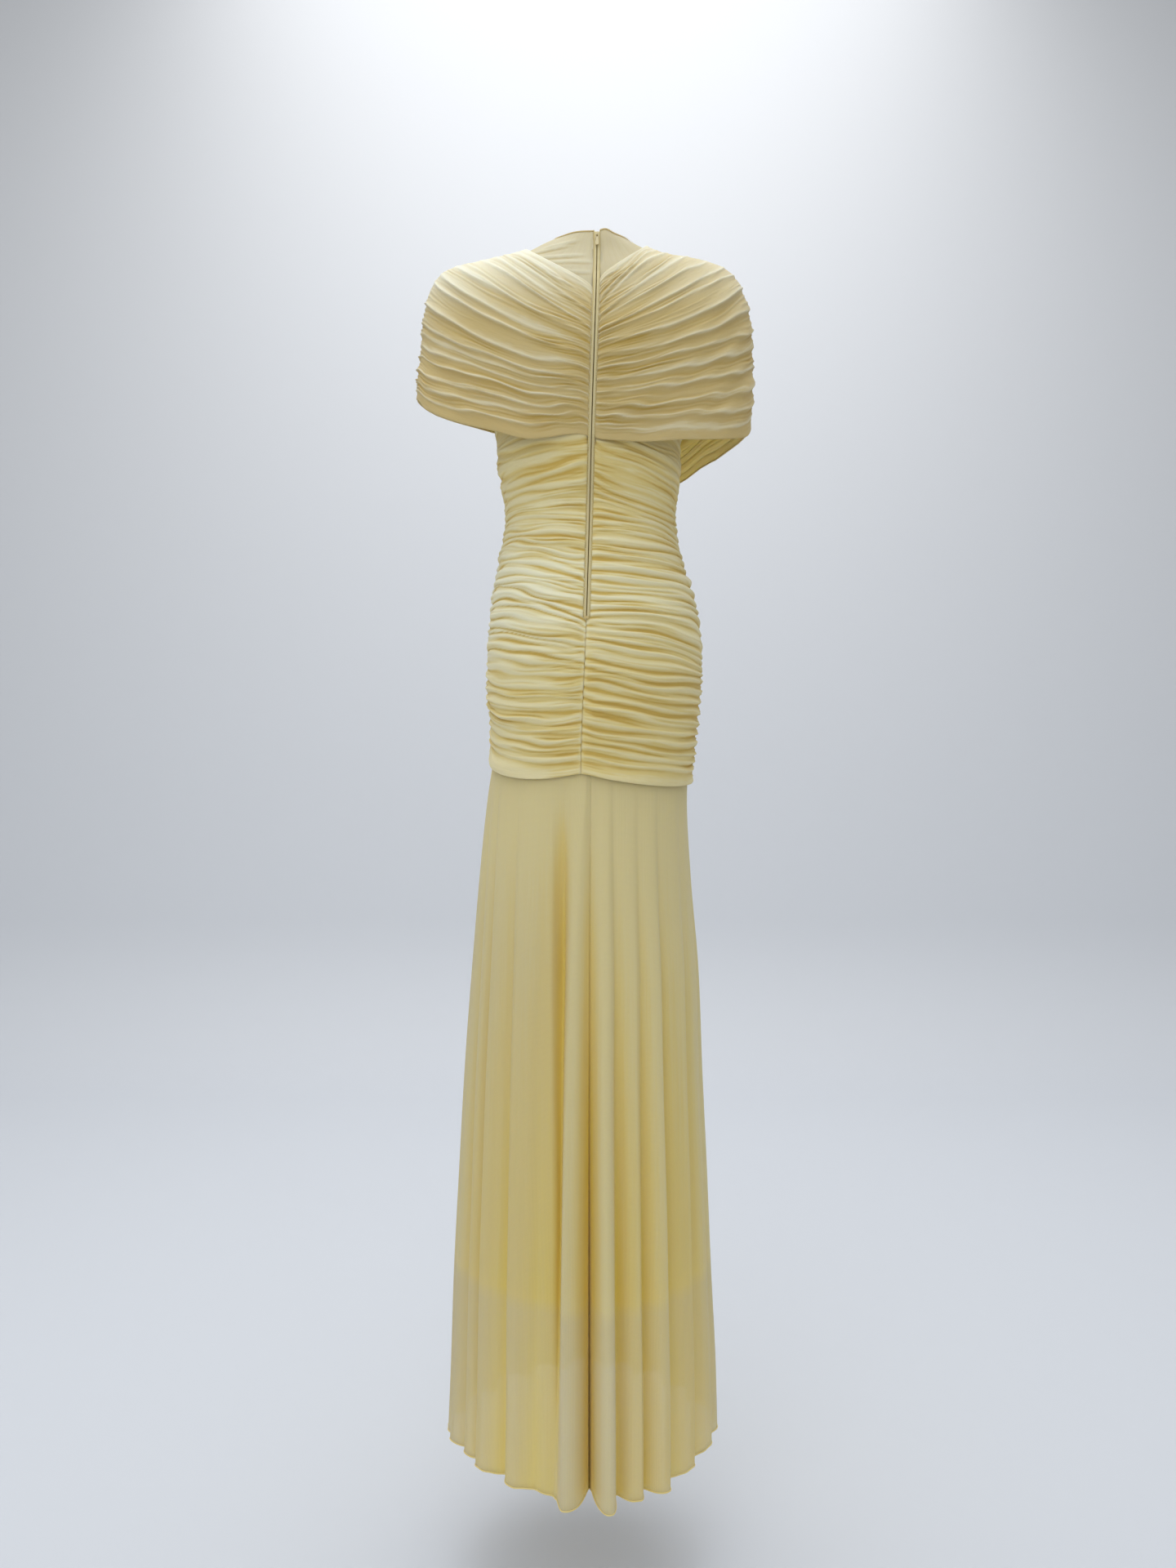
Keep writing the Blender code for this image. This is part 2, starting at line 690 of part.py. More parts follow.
def under_layer_y(z, x=0.0):
    """Depth of the inner surface of the yoke or bodice near the centre back."""
    if z > BODICE_TOP_Z:
        return depth_behind(YOKE, yoke_point, x, z)
    level = bodice_level(z)
    half_width = level.left if x > 0 else level.right
    return level.back * math.sqrt(1 - (x / half_width) ** 2)


def welt_y(z):
    """Depth of the outer face of the zip's welts, which climb onto the drape's edge."""
    plain = under_layer_y(z) + WALL
    edge_z = EDGE.at(0).z
    draped = depth_behind(DRAPE, drape_point, 0.0, max(z, edge_z)) + DRAPE_WALL
    on_top = smooth_step((-0.060 - z) / 0.020)
    on_edge = smooth_step((z - edge_z + 0.010) / 0.008)
    return plain + (draped - plain) * on_top * on_edge + WELT_PROUD


def strip(name, sections, finish):
    """Solid strip through four-cornered sections."""
    bm = bmesh.new()
    rings = [[bm.verts.new(corner) for corner in section] for section in sections]
    for upper, lower in zip(rings, rings[1:]):
        for i in range(4):
            k = (i + 1) % 4
            bm.faces.new((upper[i], upper[k], lower[k], lower[i]))
    bm.faces.new(rings[0])
    bm.faces.new(rings[-1])
    return add_object(name, bm, finish)


def make_zip_strips():
    """Welts of the invisible zip on the outside and its two tapes on the inside."""
    welt_heights = np.linspace(-0.0010, ZIP_END_Z, 34)
    tape_heights = np.linspace(-0.0030, ZIP_END_Z - 0.012, 30)
    for suffix, side in (("left", LEFT), ("right", RIGHT)):
        welt = []
        for z in welt_heights:
            near = CENTRE.at(z).x + side * ZIP_HALF_GROOVE
            far = near + side * WELT_WIDTH
            outer = welt_y(z)
            inner = outer - WELT_THICKNESS
            rounding = 0.0004
            welt.append(((near, inner, z), (near, outer, z), (far, outer - rounding, z), (far, inner, z)))
        strip("zip_welt_" + suffix, welt, WELT_YELLOW)
        tape = []
        for z in tape_heights:
            near = CENTRE.at(z).x + side * SEAM_HALF_GAP
            far = near + side * TAPE_WIDTH
            near_y = under_layer_y(z, near) - TAPE_GAP
            far_y = under_layer_y(z, far) - TAPE_GAP
            tape.append(((near, near_y, z), (far, far_y, z),
                         (far, far_y - TAPE_THICKNESS, z), (near, near_y - TAPE_THICKNESS, z)))
        strip("zip_tape_" + suffix, tape, TAPE_YELLOW)


# Slider and pull tab, in the slider's own frame: across, down the slope, out of the back
SLIDER_TOP_Z = -0.0035
SLOPE = math.radians(20)
SLIDER_WIDTH = 0.0040
SLIDER_LENGTH = 0.0090
SLIDER_THICKNESS = 0.0014
BRIDGE_WIDTH = 0.0012
BRIDGE_START = 0.0016
BRIDGE_LENGTH = 0.0050
BRIDGE_LEG = 0.0010
BRIDGE_ROOF = 0.0008
TUNNEL_HEIGHT = 0.0017
BAR = 0.0008
PULL_AXIS_DOWN = BRIDGE_START + BRIDGE_LEG + 0.0013
PULL_LENGTH = 0.0180
PULL_THICKNESS = 0.0008
WINDOW_LENGTH = 0.0048
WINDOW_HALF_WIDTH = 0.00095
PULL_HEAD_HALF_WIDTH = 0.00185
PULL_TAIL_HALF_WIDTH = 0.00225


def slider_seat():
    """Point on the welts' outer face at the top of the slider."""
    return np.array((CENTRE.at(SLIDER_TOP_Z).x, welt_y(SLIDER_TOP_Z) + 0.0004, SLIDER_TOP_Z))


def slope_point(across, down, out):
    """Point in the slider's own frame, placed on the slope of the back."""
    x, y, z = slider_seat()
    return (x + across,
            y + down * math.sin(SLOPE) + out * math.cos(SLOPE),
            z - down * math.cos(SLOPE) + out * math.sin(SLOPE))


def extrude_outline(name, outline, low, high, place, finish, hole=None):
    """Flat plate with an outline and perhaps a window, placed by a function."""
    bm = bmesh.new()
    faces = []
    for level in (low, high):
        verts = [bm.verts.new(place(u, v, level)) for u, v in outline]
        if hole is None:
            faces.append((verts, None))
            bm.faces.new(verts)
            continue
        inner = [bm.verts.new(place(u, v, level)) for u, v in hole]
        faces.append((verts, inner))
        close_edge(bm, verts + verts[:1], inner + inner[:1])
    for k in (0, 1):
        first, second = faces[0][k], faces[1][k]
        if first is None:
            continue
        count = len(first)
        for i in range(count):
            j = (i + 1) % count
            bm.faces.new((first[i], first[j], second[j], second[i]))
    return add_object(name, bm, finish)


def make_slider():
    """Slider body with the bridge that holds the pull tab, as one solid."""
    half = SLIDER_WIDTH / 2
    top = SLIDER_THICKNESS
    legs_end = BRIDGE_START + BRIDGE_LENGTH
    roof_low = top + TUNNEL_HEIGHT
    roof_high = roof_low + BRIDGE_ROOF
    body = [(-half * 0.8, 0.0), (half * 0.8, 0.0), (half, SLIDER_LENGTH * 0.25),
            (half * 0.8, SLIDER_LENGTH), (-half * 0.8, SLIDER_LENGTH), (-half, SLIDER_LENGTH * 0.25)]
    slider = extrude_outline("zip_slider", body, 0.0, top, slope_point, PAINTED_METAL)
    bridge = [(BRIDGE_START, top - 0.0004), (BRIDGE_START, roof_high - 0.0003),
              (BRIDGE_START + 0.0003, roof_high), (legs_end - 0.0003, roof_high),
              (legs_end, roof_high - 0.0003), (legs_end, top - 0.0004),
              (legs_end - BRIDGE_LEG, top - 0.0004), (legs_end - BRIDGE_LEG, roof_low),
              (BRIDGE_START + BRIDGE_LEG, roof_low), (BRIDGE_START + BRIDGE_LEG, top - 0.0004)]

    def bridge_place(down, out, across):
        return slope_point(across, down, out)

    arch = extrude_outline("bridge_cutter", bridge, -BRIDGE_WIDTH / 2, BRIDGE_WIDTH / 2,
                           bridge_place, PAINTED_METAL)
    union = slider.modifiers.new("bridge", "BOOLEAN")
    union.operation = "UNION"
    union.object = arch
    arch.hide_render = True
    arch.display_type = "WIRE"


def make_pull():
    """Teardrop pull tab that swings on the bridge, with its origin on the hinge."""
    axis = np.array(slope_point(0.0, PULL_AXIS_DOWN, SLIDER_THICKNESS + TUNNEL_HEIGHT / 2))
    head = -BAR / 2
    tail = PULL_LENGTH + head
    outline = [(-PULL_HEAD_HALF_WIDTH, head), (PULL_HEAD_HALF_WIDTH, head),
               (PULL_HEAD_HALF_WIDTH, WINDOW_LENGTH), (0.0016, 0.0075),
               (PULL_TAIL_HALF_WIDTH, 0.0125)]
    for i in range(7):
        turn = math.pi * i / 6
        outline.append((PULL_TAIL_HALF_WIDTH * math.cos(turn),
                        tail - PULL_TAIL_HALF_WIDTH + PULL_TAIL_HALF_WIDTH * math.sin(turn)))
    outline += [(-PULL_TAIL_HALF_WIDTH, 0.0125), (-0.0016, 0.0075),
                (-PULL_HEAD_HALF_WIDTH, WINDOW_LENGTH)]
    window = [(-WINDOW_HALF_WIDTH, BAR / 2), (WINDOW_HALF_WIDTH, BAR / 2),
              (WINDOW_HALF_WIDTH, WINDOW_LENGTH), (-WINDOW_HALF_WIDTH, WINDOW_LENGTH)]

    def place(across, down, out):
        return (across,
                down * math.sin(SLOPE) + out * math.cos(SLOPE),
                -down * math.cos(SLOPE) + out * math.sin(SLOPE))

    pull = extrude_outline("zip_pull", outline, -PULL_THICKNESS / 2, PULL_THICKNESS / 2,
                           place, PAINTED_METAL, hole=window)
    pull.location = axis


def make_zip_stop():
    """Small sewn bar across the foot of the zip."""
    x = CENTRE.at(ZIP_END_Z).x
    outer = welt_y(ZIP_END_Z)
    sections = []
    for z in (ZIP_END_Z + 0.0030, ZIP_END_Z - 0.0005):
        sections.append(((x - 0.0032, outer + 0.0004, z), (x + 0.0032, outer + 0.0004, z),
                         (x + 0.0026, outer + 0.0014, z), (x - 0.0026, outer + 0.0014, z)))
    strip("zip_stop", sections, WELT_YELLOW)


def main():
    for obj in list(bpy.data.objects):
        bpy.data.objects.remove(obj, do_unlink=True)
    make_yoke()
    make_bodice()
    make_drape()
    make_skirt()
    make_lining()
    make_zip_strips()
    make_zip_stop()
    make_slider()
    make_pull()


main()
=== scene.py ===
"""Looks of the draped-shoulder maxi dress: butter-yellow stretch mesh, ruched and draped.

Metres, +Z up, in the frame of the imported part: the front faces -Y and the wearer's left
is +X. Angles go round the body from the centre back (0), by the wearer's left side (+90)
to the centre front (180); the wearer's right side is -90.
"""
from __future__ import annotations

import json
import logging
import math
from dataclasses import dataclass
from enum import Enum
from typing import Sequence

import bmesh
import bpy
import numpy as np
from bpy.types import Material, Mesh, Node, NodeSocket, NodeTree, Object, World
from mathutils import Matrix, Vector

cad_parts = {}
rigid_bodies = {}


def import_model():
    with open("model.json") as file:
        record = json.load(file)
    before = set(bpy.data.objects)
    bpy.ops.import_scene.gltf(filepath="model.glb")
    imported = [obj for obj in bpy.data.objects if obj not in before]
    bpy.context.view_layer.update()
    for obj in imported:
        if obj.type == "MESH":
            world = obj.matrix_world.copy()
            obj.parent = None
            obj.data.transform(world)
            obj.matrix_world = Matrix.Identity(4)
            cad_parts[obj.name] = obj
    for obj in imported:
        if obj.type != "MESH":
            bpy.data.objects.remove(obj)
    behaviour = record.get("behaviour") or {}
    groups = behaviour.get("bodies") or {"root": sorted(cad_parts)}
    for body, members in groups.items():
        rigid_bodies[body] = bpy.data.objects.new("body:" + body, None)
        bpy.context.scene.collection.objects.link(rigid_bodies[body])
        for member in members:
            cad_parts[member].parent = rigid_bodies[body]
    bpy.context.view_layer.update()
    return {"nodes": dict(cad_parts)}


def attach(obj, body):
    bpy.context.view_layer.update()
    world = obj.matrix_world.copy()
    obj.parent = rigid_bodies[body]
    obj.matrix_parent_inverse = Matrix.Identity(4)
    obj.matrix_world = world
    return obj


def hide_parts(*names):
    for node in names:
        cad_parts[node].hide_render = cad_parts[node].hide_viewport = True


LOG = logging.getLogger("dress")
BODY = "dress"
PULL_BODY = "pull"
# Metres of cloth for one unit of its coordinates
UV_METRES = 2.0
# Least distance that a back or front panel keeps from the body's middle
NUDGE = 0.0001
# What a finish reads at each point: depth in a fold, which sets its painted shade, sheerness, and share of
# the pale colour, which paints light and shade on some pieces
LAYERS = ("fold", "veil", "pale")

Array = np.ndarray
Rows = tuple[tuple[float, ...], ...]
Triple = tuple[float, float, float]


class Side(Enum):
    """Half of the back, from the wearer's point of view."""

    LEFT = 1
    RIGHT = -1

    @property
    def word(self) -> str:
        """Name of the half in a piece's name."""
        return self.name.lower()


class Levels:
    """Smooth curves through the rows of a table, with no overshoot between them.

    The first column of a row is its key, such as a height, an angle or a share of the way down.
    """

    def __init__(self, columns: str, rows: Rows) -> None:
        """Prepare the curves.

        Args:
            columns: Names of the columns after the first one, which is the key.
            rows: Rows of the table, in any order.
        """
        ordered = np.array(sorted(rows), dtype=float)
        self.names = columns.split()
        self.keys = ordered[:, 0]
        self.values = ordered[:, 1:]
        steps = np.diff(self.keys)[:, None]
        secants = np.diff(self.values, axis=0) / steps
        self.slopes = np.zeros_like(self.values)
        self.slopes[0], self.slopes[-1] = secants[0], secants[-1]
        before, after = secants[:-1], secants[1:]
        same_way = before * after > 0
        total = np.where(same_way, before + after, 1.0)
        self.slopes[1:-1] = np.where(same_way, 2 * before * after / total, 0.0)

    def at(self, key: Array | float) -> dict[str, Array]:
        """Read every column at one or many keys.

        Args:
            key: Places along the table.

        Returns:
            Arrays of the same shape as the key, by column name.
        """
        key = np.clip(np.asarray(key, dtype=float), self.keys[0], self.keys[-1])
        index = np.clip(np.searchsorted(self.keys, key) - 1, 0, len(self.keys) - 2)
        step = (self.keys[index + 1] - self.keys[index])[..., None]
        f = (key - self.keys[index])[..., None] / step
        value = (self.values[index] * (1 + 2 * f) * (1 - f) ** 2
                 + self.values[index + 1] * f * f * (3 - 2 * f)
                 + self.slopes[index] * step * f * (1 - f) ** 2
                 + self.slopes[index + 1] * step * f * f * (f - 1))
        return dict(zip(self.names, np.moveaxis(value, -1, 0)))


def add_object(name: str, data: bpy.types.ID) -> Object:
    """Put a new object in the scene.

    Args:
        name: Name of the object.
        data: Mesh, curve, light or camera that it shows.

    Returns:
        The object.
    """
    obj = bpy.data.objects.new(name, data)
    bpy.context.scene.collection.objects.link(obj)
    return obj


class Wiring:
    """Short way to write a node tree."""

    def __init__(self, tree: NodeTree) -> None:
        """Take the tree that the nodes join."""
        self.tree = tree

    def feed(self, node: Node, inputs: dict[str | int, object]) -> None:
        """Set a node's inputs, or link them to the sockets that feed them.

        Args:
            node: Node to set up.
            inputs: Value or socket of each input, by name or number.
        """
        for key, value in inputs.items():
            if isinstance(value, NodeSocket):
                self.tree.links.new(value, node.inputs[key])
            else:
                node.inputs[key].default_value = value

    def add(self, kind: str, inputs: dict[str | int, object] | None = None, **settings: object) -> Node:
        """Add a node.

        Args:
            kind: Type of the node; a shader node's goes without its first two words.
            inputs: Values of its inputs, or the sockets that feed them.
            settings: Values of its attributes.

        Returns:
            The node.
        """
        node = self.tree.nodes.new(kind if "Node" in kind else "ShaderNode" + kind)
        for name, value in settings.items():
            setattr(node, name, value)
        self.feed(node, inputs or {})
        return node

    def maths(self, operation: str, *values: object) -> NodeSocket:
        """Output of a new maths node, with its inputs in order."""
        return self.add("Math", dict(enumerate(values)), operation=operation).outputs[0]

    def layer(self, name: str) -> NodeSocket:
        """Output of a new node that reads one of a piece's layers."""
        return self.add("Attribute", attribute_name=name).outputs["Fac"]

    def ramp(self, factor: NodeSocket, stops: Sequence[tuple[float, Triple]],
             blend: str = "LINEAR") -> NodeSocket:
        """Add a colour ramp.

        Args:
            factor: Socket that the ramp reads.
            stops: Place and colour of each stop.
            blend: How the colours blend.

        Returns:
            The colour's socket.
        """
        node = self.add("ValToRGB", {"Fac": factor})
        node.color_ramp.interpolation = blend
        elements = node.color_ramp.elements
        for element, (place, colour) in zip(elements, (stops[0], stops[-1])):
            element.position = place
            element.color = (*colour, 1.0)
        for place, colour in stops[1:-1]:
            elements.new(place).color = (*colour, 1.0)
        return node.outputs["Color"]


def new_material(name: str, inputs: dict[str | int, object]) -> tuple[Material, Wiring, Node]:
    """Start a material with values for its shader.

    Args:
        name: Name of the material.
        inputs: Values of its shader's inputs.

    Returns:
        The material, its wiring and its shader.
    """
    material = bpy.data.materials.new(name)
    material.use_nodes = True
    wires = Wiring(material.node_tree)
    shader = material.node_tree.nodes["Principled BSDF"]
    wires.feed(shader, inputs)
    return material, wires, shader


def write_layer(mesh: Mesh, name: str, values: Array) -> None:
    """Write one number for each point of a mesh."""
    layer = mesh.attributes.new(name, "FLOAT", "POINT")
    layer.data.foreach_set("value", values.astype(np.float32).ravel())


def corner_points(mesh: Mesh) -> Array:
    """Number of the point at each corner of a mesh's faces.

    Args:
        mesh: Mesh to read.

    Returns:
        One number a corner, face by face.
    """
    corners = np.empty(len(mesh.loops), dtype=np.int32)
    mesh.loops.foreach_get("vertex_index", corners)
    return corners


def write_uv(mesh: Mesh, uv: Array) -> None:
    """Write the unrolled cloth's coordinates at each corner of a mesh's faces."""
    mesh.uv_layers.new(name="cloth").data.foreach_set("uv", uv.astype(np.float32).ravel())


def flat_layers(mesh: Mesh, value: float) -> None:
    """Give a small mesh one value for its fold depth and its sheerness."""
    for name in LAYERS[:2]:
        write_layer(mesh, name, np.full(len(mesh.vertices), value))


def smooth_step(value: Array | float) -> Array:
    """Ease from 0 to 1 with flat ends."""
    value = np.clip(value, 0.0, 1.0)
    return value * value * (3 - 2 * value)


def unit(vectors: Array) -> Array:
    """Vectors of length 1 in the same directions."""
    return vectors / np.maximum(np.linalg.norm(vectors, axis=-1, keepdims=True), 1e-12)


def thousandths(rows: Rows) -> Rows:
    """Read fold rows whose places are in thousandths; each ends with a depth in millimetres."""
    return tuple((*(place / 1000 for place in row[:-1]), row[-1]) for row in rows)


def ripple(seed: int, x: Array, y: Array, waves: int = 7) -> Array:
    """Smooth field that wanders between about -1 and 1.

    Args:
        seed: Seed of the field.
        x: First coordinate, in wavelengths.
        y: Second coordinate, in wavelengths.
        waves: Number of waves added together.

    Returns:
        The field at each point.
    """
    rng = np.random.default_rng(seed)
    total = np.zeros(np.broadcast(x, y).shape)
    for _ in range(waves):
        fx, fy = rng.uniform(-1.0, 1.0, 2)
        total += np.sin(2 * math.pi * (fx * x + fy * y) + rng.uniform(0.0, 2 * math.pi))
    return total / (0.95 * math.sqrt(waves))


class DressForm:
    """Hollow shape that the dress keeps when it is worn, as tables of sections.

    A section has its half widths at the wearer's left and right and its depths at the back
    and front. Lines of the bodice climb by the lean at half of their way and at the side.
    """

    bodice = Levels("left right back front", (
        (-0.165, 0.1335, 0.1295, 0.1010, 0.1080),
        (-0.220, 0.1245, 0.1190, 0.0985, 0.1200),
        (-0.265, 0.1178, 0.1114, 0.0940, 0.1180),
        (-0.297, 0.1135, 0.1104, 0.0890, 0.1080),
        (-0.3445, 0.1067, 0.1051, 0.0765, 0.0880),
        (-0.392, 0.1135, 0.1114, 0.0850, 0.0880),
        (-0.4555, 0.1252, 0.1304, 0.1010, 0.0940),
        (-0.519, 0.1304, 0.1389, 0.1125, 0.0990),
        (-0.551, 0.1315, 0.1389, 0.1145, 0.1000),
        (-0.614, 0.1262, 0.1336, 0.1125, 0.0990),
        (-0.700, 0.1200, 0.1200, 0.1050, 0.0950),
    ))
    lean = Levels("left_half left_side right_half right_side", (
        (-0.165, 0.000, 0.000, 0.000, 0.000),
        (-0.225, -0.004, -0.008, -0.014, -0.030),
        (-0.300, -0.006, -0.012, -0.018, -0.044),
        (-0.380, 0.010, 0.004, -0.012, -0.034),
        (-0.470, 0.014, 0.010, -0.010, -0.028),
        (-0.560, -0.004, 0.006, -0.011, -0.020),
        (-0.675, -0.004, 0.025, -0.015, -0.007),
    ))
    yoke = Levels("left right back front z_left z_right z_back z_front reach", (
        (0.00, 0.0500, 0.0540, 0.0535, 0.0590, 0.0075, 0.0010, -0.0005, -0.0565, 90),
        (0.25, 0.0980, 0.0980, 0.0665, 0.0765, -0.0130, -0.0150, -0.0370, -0.0785, 90),
        (0.50, 0.1480, 0.1480, 0.0825, 0.0960, -0.0240, -0.0230, -0.0750, -0.1055, 90),
        (0.62, 0.1560, 0.1550, 0.0900, 0.1035, -0.0470, -0.0470, -0.1000, -0.1180, 70),
        (0.80, 0.1480, 0.1450, 0.0975, 0.1070, -0.1000, -0.1000, -0.1320, -0.1380, 60),
        (1.00, 0.1335, 0.1295, 0.1010, 0.1080, -0.1647, -0.1647, -0.1647, -0.1647, 80),
    ))
    drape = Levels("left right back front z_left z_right z_back z_front", (
        (0.00, 0.052, 0.0565, 0.0560, 0.0620, 0.0105, 0.0040, 0.0000, -0.0550),
        (0.15, 0.100, 0.1000, 0.0700, 0.0800, -0.0095, -0.0115, -0.0350, -0.0750),
        (0.30, 0.150, 0.1500, 0.0860, 0.1000, -0.0200, -0.0190, -0.0750, -0.1050),
        (0.42, 0.190, 0.1800, 0.0970, 0.1150, -0.0320, -0.0335, -0.1100, -0.1350),
        (0.52, 0.207, 0.1940, 0.1040, 0.1240, -0.0560, -0.0570, -0.1400, -0.1600),
        (0.65, 0.215, 0.2040, 0.1065, 0.1310, -0.0950, -0.1000, -0.1800, -0.1900),
        (0.80, 0.219, 0.2060, 0.1045, 0.1350, -0.1400, -0.1550, -0.2250, -0.2250),
        (1.00, 0.224, 0.2045, 0.0990, 0.1340, -0.1910, -0.2280, -0.2870, -0.2600),
    ))
    drape_edge = Levels("z", (
        (-180, -0.258), (-157, -0.277), (-144, -0.269), (-129, -0.248), (-90, -0.229),
        (-72, -0.2476), (-44, -0.2635), (-34, -0.2670), (-16, -0.2738), (-4, -0.2725), (0, -0.2690),
        (4, -0.2655), (18, -0.2705), (31.5, -0.2580), (45, -0.2440), (67.5, -0.2160), (79, -0.1975),
        (90, -0.191), (120, -0.193), (148, -0.200), (180, -0.258),
    ))
    skirt = Levels("left right back front", (
        (-0.630, 0.1245, 0.1300, 0.1100, 0.0970),
        (-0.650, 0.1248, 0.1275, 0.1098, 0.0965),
        (-0.670, 0.1283, 0.1248, 0.1103, 0.0970),
        (-0.709, 0.1342, 0.1237, 0.1130, 0.1000),
        (-0.804, 0.1445, 0.1285, 0.1225, 0.1080),
        (-0.931, 0.1553, 0.1393, 0.1345, 0.1180),
        (-1.058, 0.1650, 0.1448, 0.1455, 0.1290),
        (-1.185, 0.1728, 0.1516, 0.1560, 0.1410),
        (-1.312, 0.1800, 0.1572, 0.1650, 0.1530),
        (-1.438, 0.1850, 0.1630, 0.1730, 0.1640),
        (-1.518, 0.1890, 0.1645, 0.1770, 0.1700),
    ))
    centre_back = Levels("x", (
        (0.020, -0.0070), (0.000, -0.0070), (-0.250, -0.0005), (-0.490, 0.0060),
        (-0.683, 0.0126), (-1.000, 0.0090), (-1.518, 0.0035),
    ))
    skirt_clearance = 0.0023

    @staticmethod
    def axes(level: dict[str, Array], angle: Array) -> tuple[Array, Array, Array, Array]:
        """Direction of angles round an outline, and its size on that side.

        Args:
            level: Half widths and depths of the outline.
            angle: Angles in degrees.

        Returns:
            Sine and cosine of each angle, and the half width and depth on its side.
        """
        side, back = np.sin(np.radians(angle)), np.cos(np.radians(angle))
        half_width = np.where(side > 0, level["left"], level["right"])
        return side, back, half_width, np.where(back > 0, level["back"], level["front"])

    @classmethod
    def plan(cls, level: dict[str, Array], angle: Array) -> tuple[Array, Array]:
        """Oval outline of a level seen from above, at angles in degrees."""
        side, back, half_width, depth = cls.axes(level, angle)
        return half_width * side, depth * back

    @classmethod
    def skirt_points(cls, angle: Array, z: Array, inset: Array) -> Array:
        """Surface of the skirt at angles in degrees, some way inside its envelope.

        Args:
            angle: Angles in degrees.
            z: Heights.
            inset: Distance inside the envelope.

        Returns:
            The points.
        """
        level = cls.skirt.at(z)
        x, y = cls.plan(level, angle)
        side, back, half_width, depth = cls.axes(level, angle)
        nx, ny = side / half_width, back / depth
        length = np.hypot(nx, ny)
        return np.stack((x - nx / length * inset, y - ny / length * inset, z), axis=-1)

    @staticmethod
    def height(level: dict[str, Array], angle: Array) -> Array:
        """Height of a level that runs over the shoulder and down the back and front.

        Args:
            level: Heights at the sides, the back and the front.
            angle: Angles in degrees.

        Returns:
            Height at each angle.
        """
        side, back = np.sin(np.radians(angle)), np.cos(np.radians(angle))
        z_side = np.where(side > 0, level["z_left"], level["z_right"])
        z_middle = np.where(back > 0, level["z_back"], level["z_front"])
        return z_side * side ** 2 + z_middle * back ** 2

    @classmethod
    def centre_angle(cls, level: dict[str, Array], z: Array) -> Array:
        """Angle at which the centre back line crosses a level, in degrees."""
        x = cls.centre_back.at(z)["x"]
        return np.degrees(np.arcsin(x / np.where(x > 0, level["left"], level["right"])))

    @classmethod
    def bodice_level(cls, z: Array) -> dict[str, Array]:
        """Bodice outline at a height, kept clear outside the skirt's top.

        Args:
            z: Heights.

        Returns:
            Half widths and depths at each height, by column name.
        """
        level = cls.bodice.at(z)
        skirt = cls.skirt.at(z)
        low = np.asarray(z) < -0.600
        return {name: np.where(low, np.maximum(level[name], skirt[name] + cls.skirt_clearance), level[name])
                for name in level}

    @classmethod
    def bodice_points(cls, angle: Array, z: Array) -> Array:
        """Inner surface of the bodice."""
        x, y = cls.plan(cls.bodice_level(z), angle)
        return np.stack((x, y, z), axis=-1)

    @classmethod
    def yoke_points(cls, angle: Array, down: Array) -> Array:
        """Inner surface of the plain under layer.

        Args:
            angle: Angles in degrees.
            down: Share of the way down from the neck edge.

        Returns:
            The points.
        """
        level = cls.yoke.at(down)
        x, y = cls.plan(level, angle)
        return np.stack((x, y, cls.height(level, angle)), axis=-1)

    @classmethod
    def drape_points(cls, angle: Array, down: Array) -> Array:
        """Inner surface of the shoulder drape, with its own lower edge line.

        Args:
            angle: Angles in degrees.
            down: Share of the way down from the neck edge.

        Returns:
            The points.
        """
        level = cls.drape.at(down)
        x, y = cls.plan(level, angle)
        turned = (angle + 180) % 360 - 180
        last = {name: np.broadcast_to(value, angle.shape) for name, value in cls.drape.at(1.0).items()}
        shift = cls.drape_edge.at(turned)["z"] - cls.height(last, angle)
        z = cls.height(level, angle) + shift * smooth_step((down - 0.4) / 0.6)
        return np.stack((x, y, z), axis=-1)


